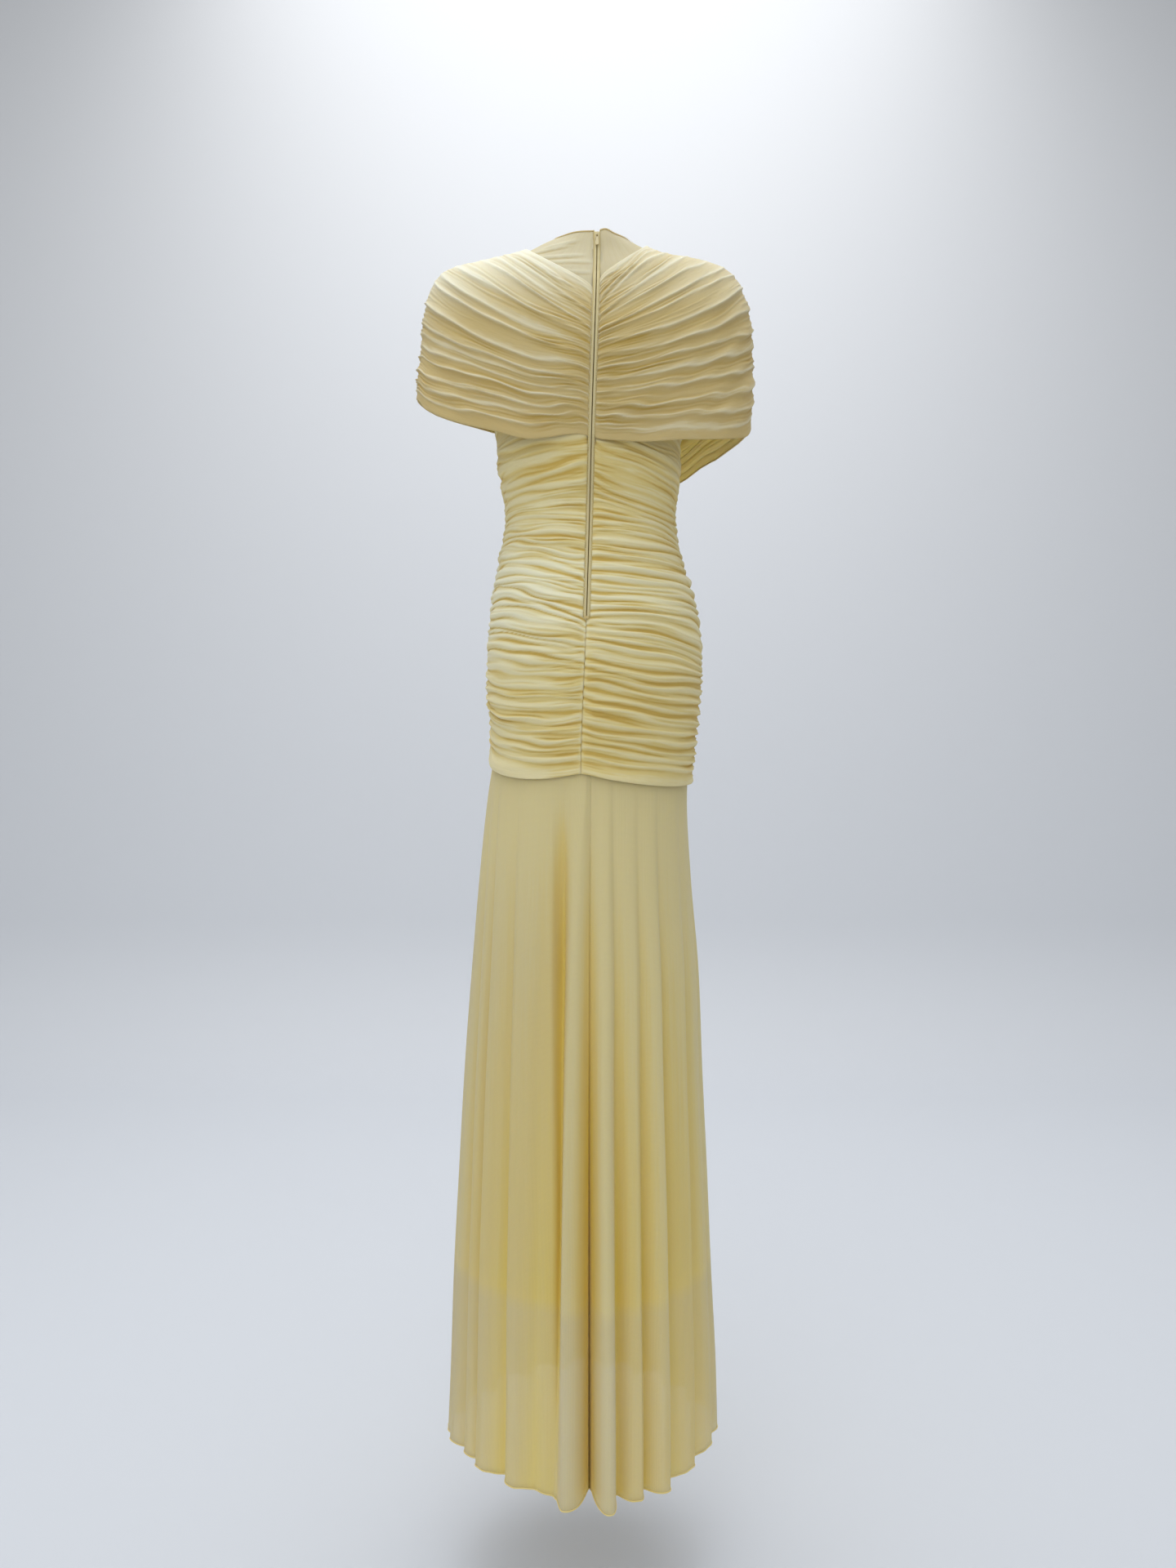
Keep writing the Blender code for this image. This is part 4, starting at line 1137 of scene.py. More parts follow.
@dataclass
class Bodice:
    """Ruched bodice: two back halves joined by the zip, and a front.

    A row of its folds has the heights of a crease at its four knots, and its depth.
    """

    finish: Material
    hip_edge_z: float = -0.675
    fold_top_z: float = -0.215
    top_z: float = -0.165
    zip_end_z: float = -0.4905
    zip_edge: float = 0.0043
    seam_edge: float = 0.00006
    thickness: float = 0.0006
    base_lift: float = 0.0010
    front_sag: float = 0.012
    turned_edge: float = 0.0009
    back_width: float = 0.15
    front_width: float = 0.33
    zip_groove: tuple[float, float] = (0.0007, 0.0017)
    drape_edge_z: float = -0.250
    pressed: float = 0.45
    hip_z: float = -0.455
    hip_spread: float = 0.075
    pucker_span: tuple[float, float] = (-0.675, -0.27)
    pucker_pitch: float = 0.0052
    rows: int = 430
    back_columns: int = 60
    front_columns: int = 66
    left_folds: Rows = thousandths((
        (-222, -222, -222, -222, 1.8), (-240, -238, -236, -234, 1.8), (-271, -271, -265, -254, 2.2),
        (-287, -294, -293, -282, 2.6), (-302, -309, -309, -300, 2.2), (-324, -324, -321, -314, 2.2),
        (-331, -336, -337, -335, 1.8), (-352, -355, -353, -348, 2.4), (-370, -370, -366, -360, 2.2),
        (-376, -383, -381, -372, 2.0), (-389, -392, -389, -382, 3.2), (-405, -404, -396, -394, 3.0),
        (-416, -417, -407, -406, 2.4), (-431, -423, -419, -413, 2.4), (-446, -433, -426, -426, 3.0),
        (-454, -447, -442, -436, 2.4), (-462, -456, -452, -446, 2.0), (-477, -472, -455, -458, 3.2),
        (-494, -479, -472, -467, 3.0), (-501, -487, -480, -479, 2.6), (-508, -501, -494, -487, 2.2),
        (-515, -511, -505, -493, 2.4), (-525, -515, -508, -505, 2.8), (-531, -521, -514, -511, 2.2),
        (-545, -530, -524, -526, 3.0), (-551, -541, -534, -532, 2.0), (-560, -554, -548, -542, 2.6),
        (-578, -571, -564, -555, 3.0), (-588, -580, -575, -574, 2.4), (-600, -597, -592, -580, 2.6),
        (-614, -612, -604, -597, 3.0), (-627, -622, -616, -612, 2.0), (-641, -635, -628, -625, 3.0),
        (-650, -645, -643, -642, 2.4), (-662, -656, -652, -652, 2.4),
    ))
    right_folds: Rows = thousandths((
        (-222, -222, -222, -222, 1.8), (-240, -242, -238, -234, 1.8), (-264, -270, -266, -256, 2.0),
        (-273, -282, -278, -266, 2.0), (-285, -291, -286, -274, 1.8), (-296, -300, -295, -284, 2.4),
        (-307, -315, -309, -294, 2.2), (-318, -330, -321, -305, 3.0), (-331, -338, -331, -315, 3.0),
        (-343, -347, -340, -325, 2.0), (-361, -359, -352, -341, 3.0), (-374, -369, -362, -351, 2.2),
        (-384, -378, -369, -358, 2.4), (-396, -393, -382, -367, 3.0), (-403, -402, -393, -378, 2.2),
        (-414, -412, -402, -387, 2.8), (-431, -428, -420, -405, 2.8), (-442, -442, -433, -421, 2.2),
        (-457, -453, -444, -434, 3.2), (-468, -463, -453, -443, 2.0), (-481, -473, -466, -462, 2.8),
        (-491, -484, -478, -474, 2.2), (-499, -498, -497, -495, 2.8), (-507, -509, -508, -504, 2.0),
        (-514, -518, -517, -513, 2.6), (-524, -528, -527, -521, 1.8), (-538, -544, -539, -528, 2.8),
        (-549, -556, -550, -538, 3.2), (-561, -567, -564, -553, 2.4), (-572, -579, -576, -566, 3.0),
        (-585, -591, -590, -582, 3.2), (-597, -605, -605, -598, 2.4), (-618, -618, -616, -611, 3.0),
        (-627, -631, -631, -627, 3.0), (-637, -638, -639, -638, 2.0), (-648, -649, -650, -650, 2.8),
        (-660, -659, -660, -660, 2.2),
    ))

    def build(self) -> None:
        """Make the three panels."""
        self.back_half(Side.LEFT)
        self.back_half(Side.RIGHT)
        self.front()

    def heights(self) -> Array:
        """Heights at the centre back of the rows, denser where folds are."""
        folded = np.linspace(self.hip_edge_z, self.fold_top_z, self.rows - 14)
        return np.concatenate((folded, np.linspace(self.fold_top_z, self.top_z, 15)[1:]))

    def calmed(self, rise: Array, z: Array) -> Array:
        """Press the folds flatter where the drape lies over them."""
        return rise * (self.pressed + (1 - self.pressed) * smooth_step((self.drape_edge_z - z) / 0.02))

    def paleness(self, points: Array, depth: Array) -> Array:
        """Painted highlight: paler crests of the folds, most at the wearer's left hip.

        Args:
            points: Points of the panel.
            depth: How deep each lies in the folds.

        Returns:
            Share of the pale colour at each point.
        """
        at_hip = np.exp(-((points[..., 2] - self.hip_z) / self.hip_spread) ** 2)
        side = np.clip(0.60 + points[..., 0] * 3.0, 0.25, 1.0)
        return np.clip(1.25 * at_hip * side * (1.1 - depth * 1.5), 0.0, 1.0)

    @staticmethod
    def back_base(side: Side, u: Array, z: Array) -> Array:
        """Smooth surface of a back half, on lines that climb as the folds do.

        Args:
            side: Half of the back.
            u: Place from the centre back to the side seam, 0 to 1.
            z: Height at which the line leaves the centre back.

        Returns:
            The points.
        """
        lean = DressForm.lean.at(z)
        half, full = lean[side.word + "_half"], lean[side.word + "_side"]
        height = z + 4 * half * u * (1 - u) + full * u * (2 * u - 1)
        start = DressForm.centre_angle(DressForm.bodice_level(height), height)
        return DressForm.bodice_points(start + (side.value * 90 - start) * u, height)

    def back_half(self, side: Side) -> None:
        """Make one back half.

        Args:
            side: Half of the back.
        """
        u, z = np.meshgrid(np.linspace(0.0, 1.0, self.back_columns) ** 1.15, self.heights())
        points = self.back_base(side, u, z)
        rows = self.left_folds if side is Side.LEFT else self.right_folds
        gathers = Gathers.from_rows(rows, 12 + side.value, self.pucker_span, self.pucker_pitch)
        rise, depth = gathers.relief(u, z, -1.0)
        rise = self.calmed(rise, points[..., 2])
        centre = DressForm.centre_back.at(points[..., 2])["x"]
        from_centre = np.abs(points[..., 0] - centre)
        rise = rise * (0.35 + 0.65 * smooth_step(from_centre / 0.010))
        rise = rise + seam_groove(from_centre, *self.zip_groove) * (z < self.zip_end_z)
        rise = rise + seam_groove((1 - u) * self.back_width)
        # Painted shade: deeper colour higher up towards the drape, and over the right half, most low down
        closed = 0.14 * smooth_step((points[..., 2] + 0.36) / 0.08)
        if side is Side.RIGHT:
            closed = closed + 0.06 + 0.08 * smooth_step((-0.50 - points[..., 2]) / 0.08)
        depth = np.clip(depth + closed, 0.0, 1.0)
        cloth = Cloth(points, depth, pale=self.paleness(points, depth))
        cloth.lift(self.base_lift + rise)
        edge = centre + side.value * np.where(z > self.zip_end_z, self.zip_edge, self.seam_edge)
        cloth.points[:, 0, 0] = edge[:, 0]
        cloth.keep_behind(side, edge)
        cloth.turn_under(self.turned_edge, at_end=False)
        piece = cloth.to_object(f"bodice_back_{side.word}_cloth", self.finish, self.thickness)
        declare(piece, [f"back_{side.word}"])

    def front(self) -> None:
        """Make the front."""
        u, z = np.meshgrid(np.linspace(0.0, 1.0, self.front_columns), self.heights())
        lean = DressForm.lean.at(z)
        fade = smooth_step((self.top_z - z) / 0.06)
        height = z + lean["left_side"] + (lean["right_side"] - lean["left_side"]) * u
        height = height - self.front_sag * fade * np.sin(math.pi * u)
        points = DressForm.bodice_points(90 + 180 * u, height)
        rows = joined_folds(self.left_folds, self.right_folds, 0.0035, 37)
        rise, depth = Gathers.from_rows(rows, 37, self.pucker_span, self.pucker_pitch).relief(u, z, -1.0)
        rise = self.calmed(rise, points[..., 2]) + seam_groove(np.minimum(u, 1 - u) * self.front_width)
        cloth = Cloth(points, depth, pale=self.paleness(points, depth))
        cloth.lift(self.base_lift + rise)
        cloth.keep_in_front()
        cloth.turn_under(self.turned_edge, at_end=False)
        piece = cloth.to_object("bodice_front_cloth", self.finish, self.thickness)
        declare(piece, ["front"])


@dataclass(frozen=True)
class DrapeStart:
    """Where the drape's first fold leaves the centre back and meets the shoulder."""

    at_back: float
    at_shoulder: float
    bend: float


@dataclass
class ShoulderDrape:
    """Gathered drape over both shoulders: two back halves and a front.

    A row of its folds has the places of a crease at its four knots, as shares of the way
    down from the drape's first fold, and its depth.
    """

    finish: Material
    # Finish of the front's inner face, which paints light coming through the cloth
    inside: Material
    left: DrapeStart = DrapeStart(0.38, 0.08, 0.50)
    right: DrapeStart = DrapeStart(0.34, 0.02, 0.50)
    zip_edge: float = 0.0043
    thickness: float = 0.0006
    base_lift: float = 0.0009
    turned_edge: float = 0.0011
    back_width: float = 0.24
    front_width: float = 0.50
    side_groove: tuple[float, float] = (0.0012, 0.0026)
    pucker_span: tuple[float, float] = (0.03, 0.97)
    pucker_pitch: float = 0.020
    rows: int = 270
    back_columns: int = 70
    front_columns: int = 84
    left_folds: Rows = thousandths((
        (55, 22, 24, 25, 1.6), (150, 67, 62, 60, 2.2), (211, 123, 108, 102, 3.4), (246, 175, 152, 148, 2.2),
        (307, 215, 205, 200, 2.4), (379, 316, 312, 292, 3.2), (466, 412, 405, 370, 2.4),
        (508, 468, 452, 410, 3.4), (594, 571, 552, 530, 3.8), (682, 643, 636, 618, 3.8),
        (730, 683, 675, 672, 2.6), (774, 720, 712, 716, 2.2), (830, 767, 765, 778, 3.2),
        (873, 831, 834, 852, 3.2), (918, 886, 893, 915, 3.4), (952, 938, 948, 960, 2.6),
    ))
    right_folds: Rows = thousandths((
        (50, 18, 14, 12, 1.8), (108, 34, 28, 26, 2.2), (178, 62, 60, 60, 3.6), (214, 104, 112, 118, 2.8),
        (284, 198, 190, 190, 2.6), (310, 262, 280, 270, 2.4), (366, 352, 358, 350, 3.2),
        (386, 394, 410, 420, 3.2), (439, 490, 500, 484, 3.0), (515, 570, 579, 578, 3.8),
        (601, 631, 647, 655, 3.2), (675, 702, 706, 716, 3.6), (752, 767, 774, 786, 3.4),
        (822, 849, 845, 845, 2.8), (882, 905, 905, 905, 3.4), (945, 962, 960, 955, 1.9),
    ))

    def build(self) -> None:
        """Make the three panels."""
        self.back_half(Side.LEFT, self.left)
        self.back_half(Side.RIGHT, self.right)
        self.front()

    def gathered(self, rows: Rows, seed: int, u: Array, v: Array, points: Array) -> tuple[Array, Array]:
        """Relief of a panel's folds, stretched flatter over the top of the shoulders.

        Args:
            rows: Main folds of the panel.
            seed: Seed of the slighter folds.
            u: Place of each point across the panel.
            v: Place of each point down it.
            points: Smooth surface of the panel.

        Returns:
            Height of each point, and its painted shade by depth in the folds.
        """
        gathers = Gathers.from_rows(rows, seed, self.pucker_span, self.pucker_pitch, FoldStyle.RIDGED)
        lengths = np.linalg.norm(np.diff(points, axis=0), axis=-1).sum(axis=0)[None]
        rise, depth = gathers.relief(u, v, lengths)
        return rise * (1 - 0.66 * smooth_step((points[..., 2] + 0.075) / 0.05)), depth

    @staticmethod
    def paleness(points: Array, depth: Array) -> Array:
        """Lighten the single layers over the shoulders, where no bodice lies under them, and paint a
        highlight on the shoulders' tops, stronger on the wearer's left and on the crests.

        Args:
            points: Points of the panel.
            depth: How deep each lies in the folds.

        Returns:
            Share of the pale colour at each point.
        """
        high = smooth_step((points[..., 2] + 0.135) / 0.105)
        side = 0.75 + 0.20 * np.clip(points[..., 0] / 0.06, -1.0, 1.0)
        return side * high * np.clip(1.15 - depth * 0.9, 0.2, 1.0)

    @staticmethod
    def back_base(side: Side, start: DrapeStart, u: Array, v: Array) -> Array:
        """Smooth surface of a back half.

        Args:
            side: Half of the back.
            start: Where its first fold runs.
            u: Place from the centre back to the side, 0 to 1.
            v: Place from the first fold to the lower edge, 0 to 1.

        Returns:
            The points.
        """
        top = start.at_shoulder + (start.at_back - start.at_shoulder) * (1 - u ** start.bend)
        down = top + (1 - top) * v
        centre_z = DressForm.drape_points(np.zeros_like(down), down)[..., 2]
        centre = DressForm.centre_angle(DressForm.drape.at(down), centre_z)
        return DressForm.drape_points(centre + (side.value * 90 - centre) * u, down)

    def back_half(self, side: Side, start: DrapeStart) -> None:
        """Make one back half, from its first fold to its lower edge.

        Args:
            side: Half of the back.
            start: Where its first fold runs.
        """
        u, v = np.meshgrid(np.linspace(0.0, 1.0, self.back_columns), np.linspace(0.0, 1.0, self.rows))
        points = self.back_base(side, start, u, v)
        rows = self.left_folds if side is Side.LEFT else self.right_folds
        rise, depth = self.gathered(rows, 52 + side.value, u, v, points)
        centre = DressForm.centre_back.at(points[..., 2])["x"]
        rise = rise * (0.35 + 0.65 * smooth_step(np.abs(points[..., 0] - centre) / 0.012))
        if side is Side.LEFT:
            rise = rise * (1 - smooth_step((u - 0.10) / 0.30) * (1 - smooth_step(v / 0.07)))
        else:
            # Painted shade: the right half is a little deeper in colour
            depth = np.clip(depth + 0.08, 0.0, 1.0)
        rise = rise + seam_groove((1 - u) * self.back_width, *self.side_groove)
        cloth = Cloth(points, depth, pale=self.paleness(points, depth))
        cloth.lift(self.base_lift + rise)
        cloth.keep_behind(side, centre + side.value * self.zip_edge)
        cloth.turn_under(self.turned_edge)
        piece = cloth.to_object(f"drape_back_{side.word}_cloth", self.finish, self.thickness)
        declare(piece, [f"drape_back_{side.word}"])

    def front(self) -> None:
        """Make the front."""
        u, v = np.meshgrid(np.linspace(0.0, 1.0, self.front_columns), np.linspace(0.0, 1.0, self.rows))
        top = self.left.at_shoulder + (self.right.at_shoulder - self.left.at_shoulder) * u
        points = DressForm.drape_points(90 + 180 * u, top + (1 - top) * v)
        rows = joined_folds(self.left_folds, self.right_folds, 0.016, 71)
        rise, depth = self.gathered(rows, 71, u, v, points)
        rise = rise + seam_groove(np.minimum(u, 1 - u) * self.front_width, *self.side_groove)
        cloth = Cloth(points, depth, pale=self.paleness(points, depth))
        cloth.lift(self.base_lift + rise)
        cloth.keep_in_front()
        cloth.turn_under(self.turned_edge)
        piece = cloth.to_object("drape_front_cloth", self.finish, self.thickness, self.inside)
        declare(piece, ["drape_front"])


@dataclass
class Yoke:
    """Plain sheer under layer with the neckline and the armholes.

    A row of its folds has x and z of the far end, x and z of the near end, and a depth in
    millimetres. A row of the neck's rises has a place, a spread and a height.
    """

    finish: Material
    edge_finish: Material
    stitches: StitchRun
    thread: Material
    thickness: float = 0.0006
    base_lift: float = 0.0009
    zip_edge: float = 0.0043
    rows: int = 66
    back_columns: int = 40
    front_columns: int = 70
    binding_radius: float = 0.0011
    stitch: Stitch = Stitch(0.0032, 0.0022, 0.0004)
    left_folds: Rows = (
        (0.058, -0.0200, 0.017, -0.0160, 1.3), (0.084, -0.0285, 0.026, -0.0210, 1.6),
        (0.075, -0.0390, 0.010, -0.0385, 1.5), (0.046, -0.0480, -0.002, -0.0500, 1.0),
        (0.032, -0.0645, 0.000, -0.0655, 0.8),
    )
    neck_rises: Rows = ((-0.0178, 0.0080, 0.0040), (0.0370, 0.0130, -0.0024))

    def build(self) -> None:
        """Make the two back halves, the front, and the turned neck edge with its stitches."""
        left = self.panel("yoke_left", Side.LEFT)
        right = self.panel("yoke_right", Side.RIGHT)
        front = self.panel("yoke_front", None)
        neck = np.concatenate((left, front, right[::-1]))
        declare(tube("neck_edge_cloth", neck, self.binding_radius, self.edge_finish))
        line = neck + (neck * (1.0, 1.0, 0.0)) * 0.075 + (0.0, 0.0, -0.0012)
        declare(self.stitches.sew("neck_edge_stitches", line, self.stitch, self.thread))

    def panel(self, node: str, side: Side | None) -> Array:
        """Make one panel.

        Args:
            node: Node that the panel stands for.
            side: Half of the back, or None for the front.

        Returns:
            The points of its neck edge, from the wearer's left to right on the front and
            from the centre back outwards on the back.
        """
        columns = self.back_columns if side else self.front_columns
        u, down = np.meshgrid(np.linspace(0.0, 1.0, columns), np.linspace(0.0, 1.0, self.rows))
        level = DressForm.yoke.at(down)
        if side:
            centre = DressForm.centre_angle(level, level["z_back"])
            angle = centre + (side.value * level["reach"] - centre) * u
        else:
            angle = 180 - level["reach"] + 2 * level["reach"] * u
        points = DressForm.yoke_points(angle, down)
        # Painted shade: the right half is deeper in colour than the left
        cloth = Cloth(points, 0.30 if side is Side.RIGHT else 0.20)
        wave = 0.0006 * ripple(81, u * 2.5, down * 3.0) * smooth_step(down / 0.1)
        if side is Side.LEFT:
            crease = self.drawn_folds(points)
            wave = wave + crease * smooth_step(down / 0.03)
            # Painted shade in the grooves of the drawn creases, and lighter ridges
            cloth.fold = np.clip(0.22 - crease * 620, 0.0, 1.0)
        cloth.lift(self.base_lift + wave)
        for x, spread, rise in self.neck_rises if side else ():
            near = np.exp(-((cloth.points[..., 0] - x) / spread) ** 2)
            cloth.points[..., 2] += rise * near * (1 - smooth_step(down / 0.18))
        if side:
            centre_x = DressForm.centre_back.at(cloth.points[..., 2])["x"]
            cloth.keep_behind(side, centre_x + side.value * self.zip_edge)
        else:
            cloth.keep_in_front()
        piece = cloth.to_object(node + "_cloth", self.finish, self.thickness)
        declare(piece, [node])
        return cloth.points[0]

    def drawn_folds(self, points: Array) -> Array:
        """Soft creases that the drape's pull draws from the zip to the left shoulder.

        Args:
            points: Points of the left half.

        Returns:
            Height of each point in metres.
        """
        x, z = points[..., 0], points[..., 2]
        height = np.zeros_like(x)
        for far_x, far_z, near_x, near_z, depth in self.left_folds:
            share = (x - near_x) / (far_x - near_x)
            d = (z - near_z - (far_z - near_z) * share) * 1000
            shown = smooth_step((share + 0.10) / 0.35) * smooth_step((1.25 - share) / 0.35)
            wave = 0.6 * np.exp(-((d - 3.0) / 2.4) ** 2) - 0.5 * np.exp(-(d / 1.8) ** 2)
            height += depth * shown * wave
        return height / 800


def tube(name: str, path: Array, radius: float, material: Material, sides: int = 10) -> Object:
    """Closed round tube along a path.

    Args:
        name: Name of the piece.
        path: Points of the path.
        radius: Radius of the tube.
        material: Finish of the tube.
        sides: Faces round the tube.

    Returns:
        The tube's object.
    """
    along = unit(np.gradient(path, axis=0))
    first = unit(np.cross(along, (0.0, 0.0, 1.0)))
    second = np.cross(along, first)
    turns = (2 * math.pi * np.arange(sides) / sides)[None, :, None]
    rings = path[:, None] + radius * (np.cos(turns) * first[:, None] + np.sin(turns) * second[:, None])
    index = np.arange(rings.shape[0] * sides).reshape(-1, sides)
    turned = np.roll(index, -1, axis=1)
    quads = np.stack((index[:-1], turned[:-1], turned[1:], index[1:]), axis=-1).reshape(-1, 4)
    mesh = bpy.data.meshes.new(name)
    ends = [index[0].tolist(), index[-1][::-1].tolist()]
    mesh.from_pydata(rings.reshape(-1, 3).tolist(), [], quads.tolist() + ends)
    bm = bmesh.new()
    bm.from_mesh(mesh)
    bmesh.ops.recalc_face_normals(bm, faces=bm.faces)
    bm.to_mesh(mesh)
    bm.free()
    flat_layers(mesh, 0.25)
    corners = corner_points(mesh)
    lengths = np.concatenate(((0.0,), np.cumsum(np.linalg.norm(np.diff(path, axis=0), axis=-1))))
    write_uv(mesh, np.stack((corners % sides * 0.0006, lengths[corners // sides]), axis=-1) / UV_METRES)
    mesh.shade_smooth()
    mesh.materials.append(material)
    return add_object(name, mesh)


@dataclass
class Skirt:
    """Flared sheer skirt with deep soft folds, in two back halves and a front.

    A row of its folds has the angle of a crest or valley and how many millimetres it lies
    inside the envelope at the three lower levels. A row of sways has an angle, a spread and
    the shift at each level, in degrees.
    """

    finish: Material
    top_z: float = -0.630
    hem_z: float = -1.518
    thickness: float = 0.0006
    rows: int = 104
    samples: int = 9
    fold_levels: tuple[float, ...] = (-0.670, -0.930, -1.250, -1.518)
    folds: tuple[tuple[float, float, float, float], ...] = (
        (90, 0, 1, 2), (83, 5, 9, 12), (79.5, 2, 4, 6), (72, 12, 20, 26), (67.5, 6, 13, 18),
        (60.5, 15, 26, 33), (56.5, 7, 14, 20), (42.5, 16, 30, 40), (37, 8, 16, 23), (27, 12, 24, 34),
        (21, 14, 24, 30), (14.5, 32, 34, 24), (7.2, 3, 4, 5), (0.8, 20, 48, 62), (-8, 0, 0, 0),
        (-12.5, 12, 30, 40), (-22.5, 5, 10, 14), (-27.5, 12, 27, 36), (-37, 3, 6, 10),
        (-41.5, 12, 25, 34), (-58, 5, 11, 16), (-63.5, 10, 20, 28), (-77, 3, 6, 9), (-84, 5, 9, 11),
        (-90, 0, 0, 0), (-95, 4, 8, 10),
        (-103, 1, 3, 4), (-112, 12, 22, 28), (-122, 3, 6, 8), (-132, 13, 26, 34), (-142, 2, 4, 6),
        (-152, 14, 28, 37), (-162, 3, 6, 9), (-172, 13, 27, 36), (177, 1, 2, 3), (167, 14, 28, 38),
        (157, 3, 6, 8), (147, 13, 26, 35), (137, 2, 4, 5), (126, 12, 24, 32), (115, 4, 8, 10),
        (104, 9, 17, 22), (97, 2, 3, 4), (93, 3, 6, 8),
    )
    sways: Rows = (
        (7.2, 4.0, -3.6, 1.4, 3.3, 2.5), (21.0, 4.5, 0.0, -1.6, -4.2, -4.2),
    )
    hem_radius: float = 0.0008
    # Inset past which a valley gets painted light: solid and lighter in colour
    shut_inset: float = 0.026
    # Height and strength of the painted shade below the lining's hem
    lining_end_z: float = -1.298
    lining_end_shade: float = 0.46

    def swayed(self, angle: Array, z: Array) -> Array:
        """Move some crests sideways on their way down.

        Args:
            angle: Angles in degrees.
            z: Heights.

        Returns:
            The moved angles.
        """
        moved = angle.copy()
        for centre, spread, *shifts in self.sways:
            shift = Levels("shift", tuple(zip(self.fold_levels, shifts))).at(z)["shift"]
            moved += shift * np.exp(-((angle - centre) / spread) ** 2)
        return moved

    def inset(self, row: Sequence[float], heights: Array) -> Array:
        """How far a crest or valley lies inside the envelope at some heights, in metres."""
        return Levels("inset", tuple(zip(self.fold_levels, (0.0, *row[1:])))).at(heights)["inset"] / 1000

    def outline(self, heights: Array) -> tuple[Array, Array, list[int]]:
        """Work out the skirt's folds at some heights.

        Args:
            heights: Heights of the rows.

        Returns:
            Angles of the columns in degrees, the inset of each point from the envelope
            by row and column, and the first column of each crest or valley.
        """
        angles: list[float] = []
        insets: list[Array] = []
        firsts: list[int] = []
        for row, following in zip(self.folds, self.folds[1:] + self.folds[:1]):
            firsts.append(len(angles))
            span = (following[0] - row[0] + 180) % 360 - 180
            start, end = self.inset(row, heights), self.inset(following, heights)
            power = 1.9 + 0.8 * np.clip((np.abs(end - start) - 0.018) / 0.036, 0.0, 1.0)
            for step in range(self.samples):
                place = step / self.samples
                rise = place ** power if row[3] < following[3] else 1 - (1 - place) ** power
                angles.append(row[0] + span * place)
                insets.append(start + (end - start) * rise)
        inset = np.stack(insets, axis=-1)
        for _ in range(2):
            inset = (np.roll(inset, 1, axis=1) + 2 * inset + np.roll(inset, -1, axis=1)) / 4
        return np.array(angles), inset, firsts

    def build(self) -> None:
        """Make the three panels and their hems."""
        heights = np.linspace(self.top_z, self.hem_z, self.rows)
        angles, inset, firsts = self.outline(heights)
        angle, z = np.meshgrid(angles, heights)
        angle = self.swayed(angle, z)
        fall = smooth_step((self.top_z - 0.03 - z) / 0.5)
        inset = inset + fall * 0.0009 * (1 + ripple(91, angle / 5.0, z * 1.3, 9))
        points = DressForm.skirt_points(angle, z, inset)
        # Painted light: the deepest valleys become solid, lighter in colour and free of the pale colour
        lit_valley = smooth_step((inset - self.shut_inset) / 0.020)
        # Painted shade: deeper colour further inside the folds, less in the deepest valleys
        depth = np.clip((inset - 0.003) / 0.029, 0.0, 1.0) * (1 - 0.4 * lit_valley)
        # Painted shade: below the lining's hem the greyer, darker pale colour stands in for the shaded
        # inside seen through
        painted_shade_below_lining = self.lining_end_shade * smooth_step((self.lining_end_z - z) / 0.008)
        # Painted shade: the wearer's left side, lower down, is greyer and darker
        sides = 0.42 * smooth_step(points[..., 0] / 0.06) * smooth_step((-0.72 - z) / 0.2)
        pale = np.clip(painted_shade_below_lining + sides, 0.0, 0.9) * (1 - 0.5 * depth) * (1 - lit_valley)
        left, centre, right = (firsts[[row[0] for row in self.folds].index(a)] for a in (90, 0.8, -90))
        total = len(angles)
        for node, first, last, flat, area in (("skirt_back_left", left, centre, (0.30, 0.89), 0.215),
                                              ("skirt_back_right", centre, right, (0.30, 0.89), 0.215),
                                              ("skirt_front", right, left + total, (0.62, 0.89), 0.440)):
            columns = np.arange(first, last + 1) % total
            cloth = Cloth(points[:, columns], depth[:, columns], 1 - lit_valley[:, columns], pale[:, columns])
            piece = cloth.to_object(node + "_cloth", self.finish, self.thickness)
            declare(piece, [node])
            path = cloth.points[-1] + (0.0, 0.0, self.hem_radius)
            declare(tube(node + "_hem_cloth", path, self.hem_radius, self.finish, sides=8))


@dataclass
class Lining:
    """Knee-length lining that hangs inside the skirt."""

    finish: Material
    skirt: Skirt
    top_z: float = -0.660
    hem_z: float = -1.300
    thickness: float = 0.0006
    rows: int = 50
    columns: int = 200
    reach: float = 13.0
    clearance: float = 0.0022
    hem_radius: float = 0.0008

    def build(self) -> None:
        """Make the lining tube, which hangs inside the skirt's folds."""
        heights = np.linspace(self.top_z, self.hem_z, self.rows)
        fold_angles, fold_inset, _ = self.skirt.outline(heights)
        around = 360 * np.arange(self.columns) / self.columns
        apart = np.abs((fold_angles[None] - around[:, None] + 180) % 360 - 180)
        inset = np.stack([np.where(apart <= self.reach, row[None], 0.0).max(axis=1) for row in fold_inset])
        for _ in range(14):
            inset = np.maximum(inset, (np.roll(inset, 1, axis=1) + inset + np.roll(inset, -1, axis=1)) / 3)
        angle, z = np.meshgrid(around, heights)
        inset = inset + self.clearance + 0.0045 * smooth_step((self.top_z - z) / 0.12)
        cloth = Cloth(DressForm.skirt_points(angle, z, inset), 0.3, closed=True)
        cloth.turn_under(self.hem_radius)
        piece = cloth.to_object("lining_cloth", self.finish, self.thickness)
        declare(piece, ["lining"])


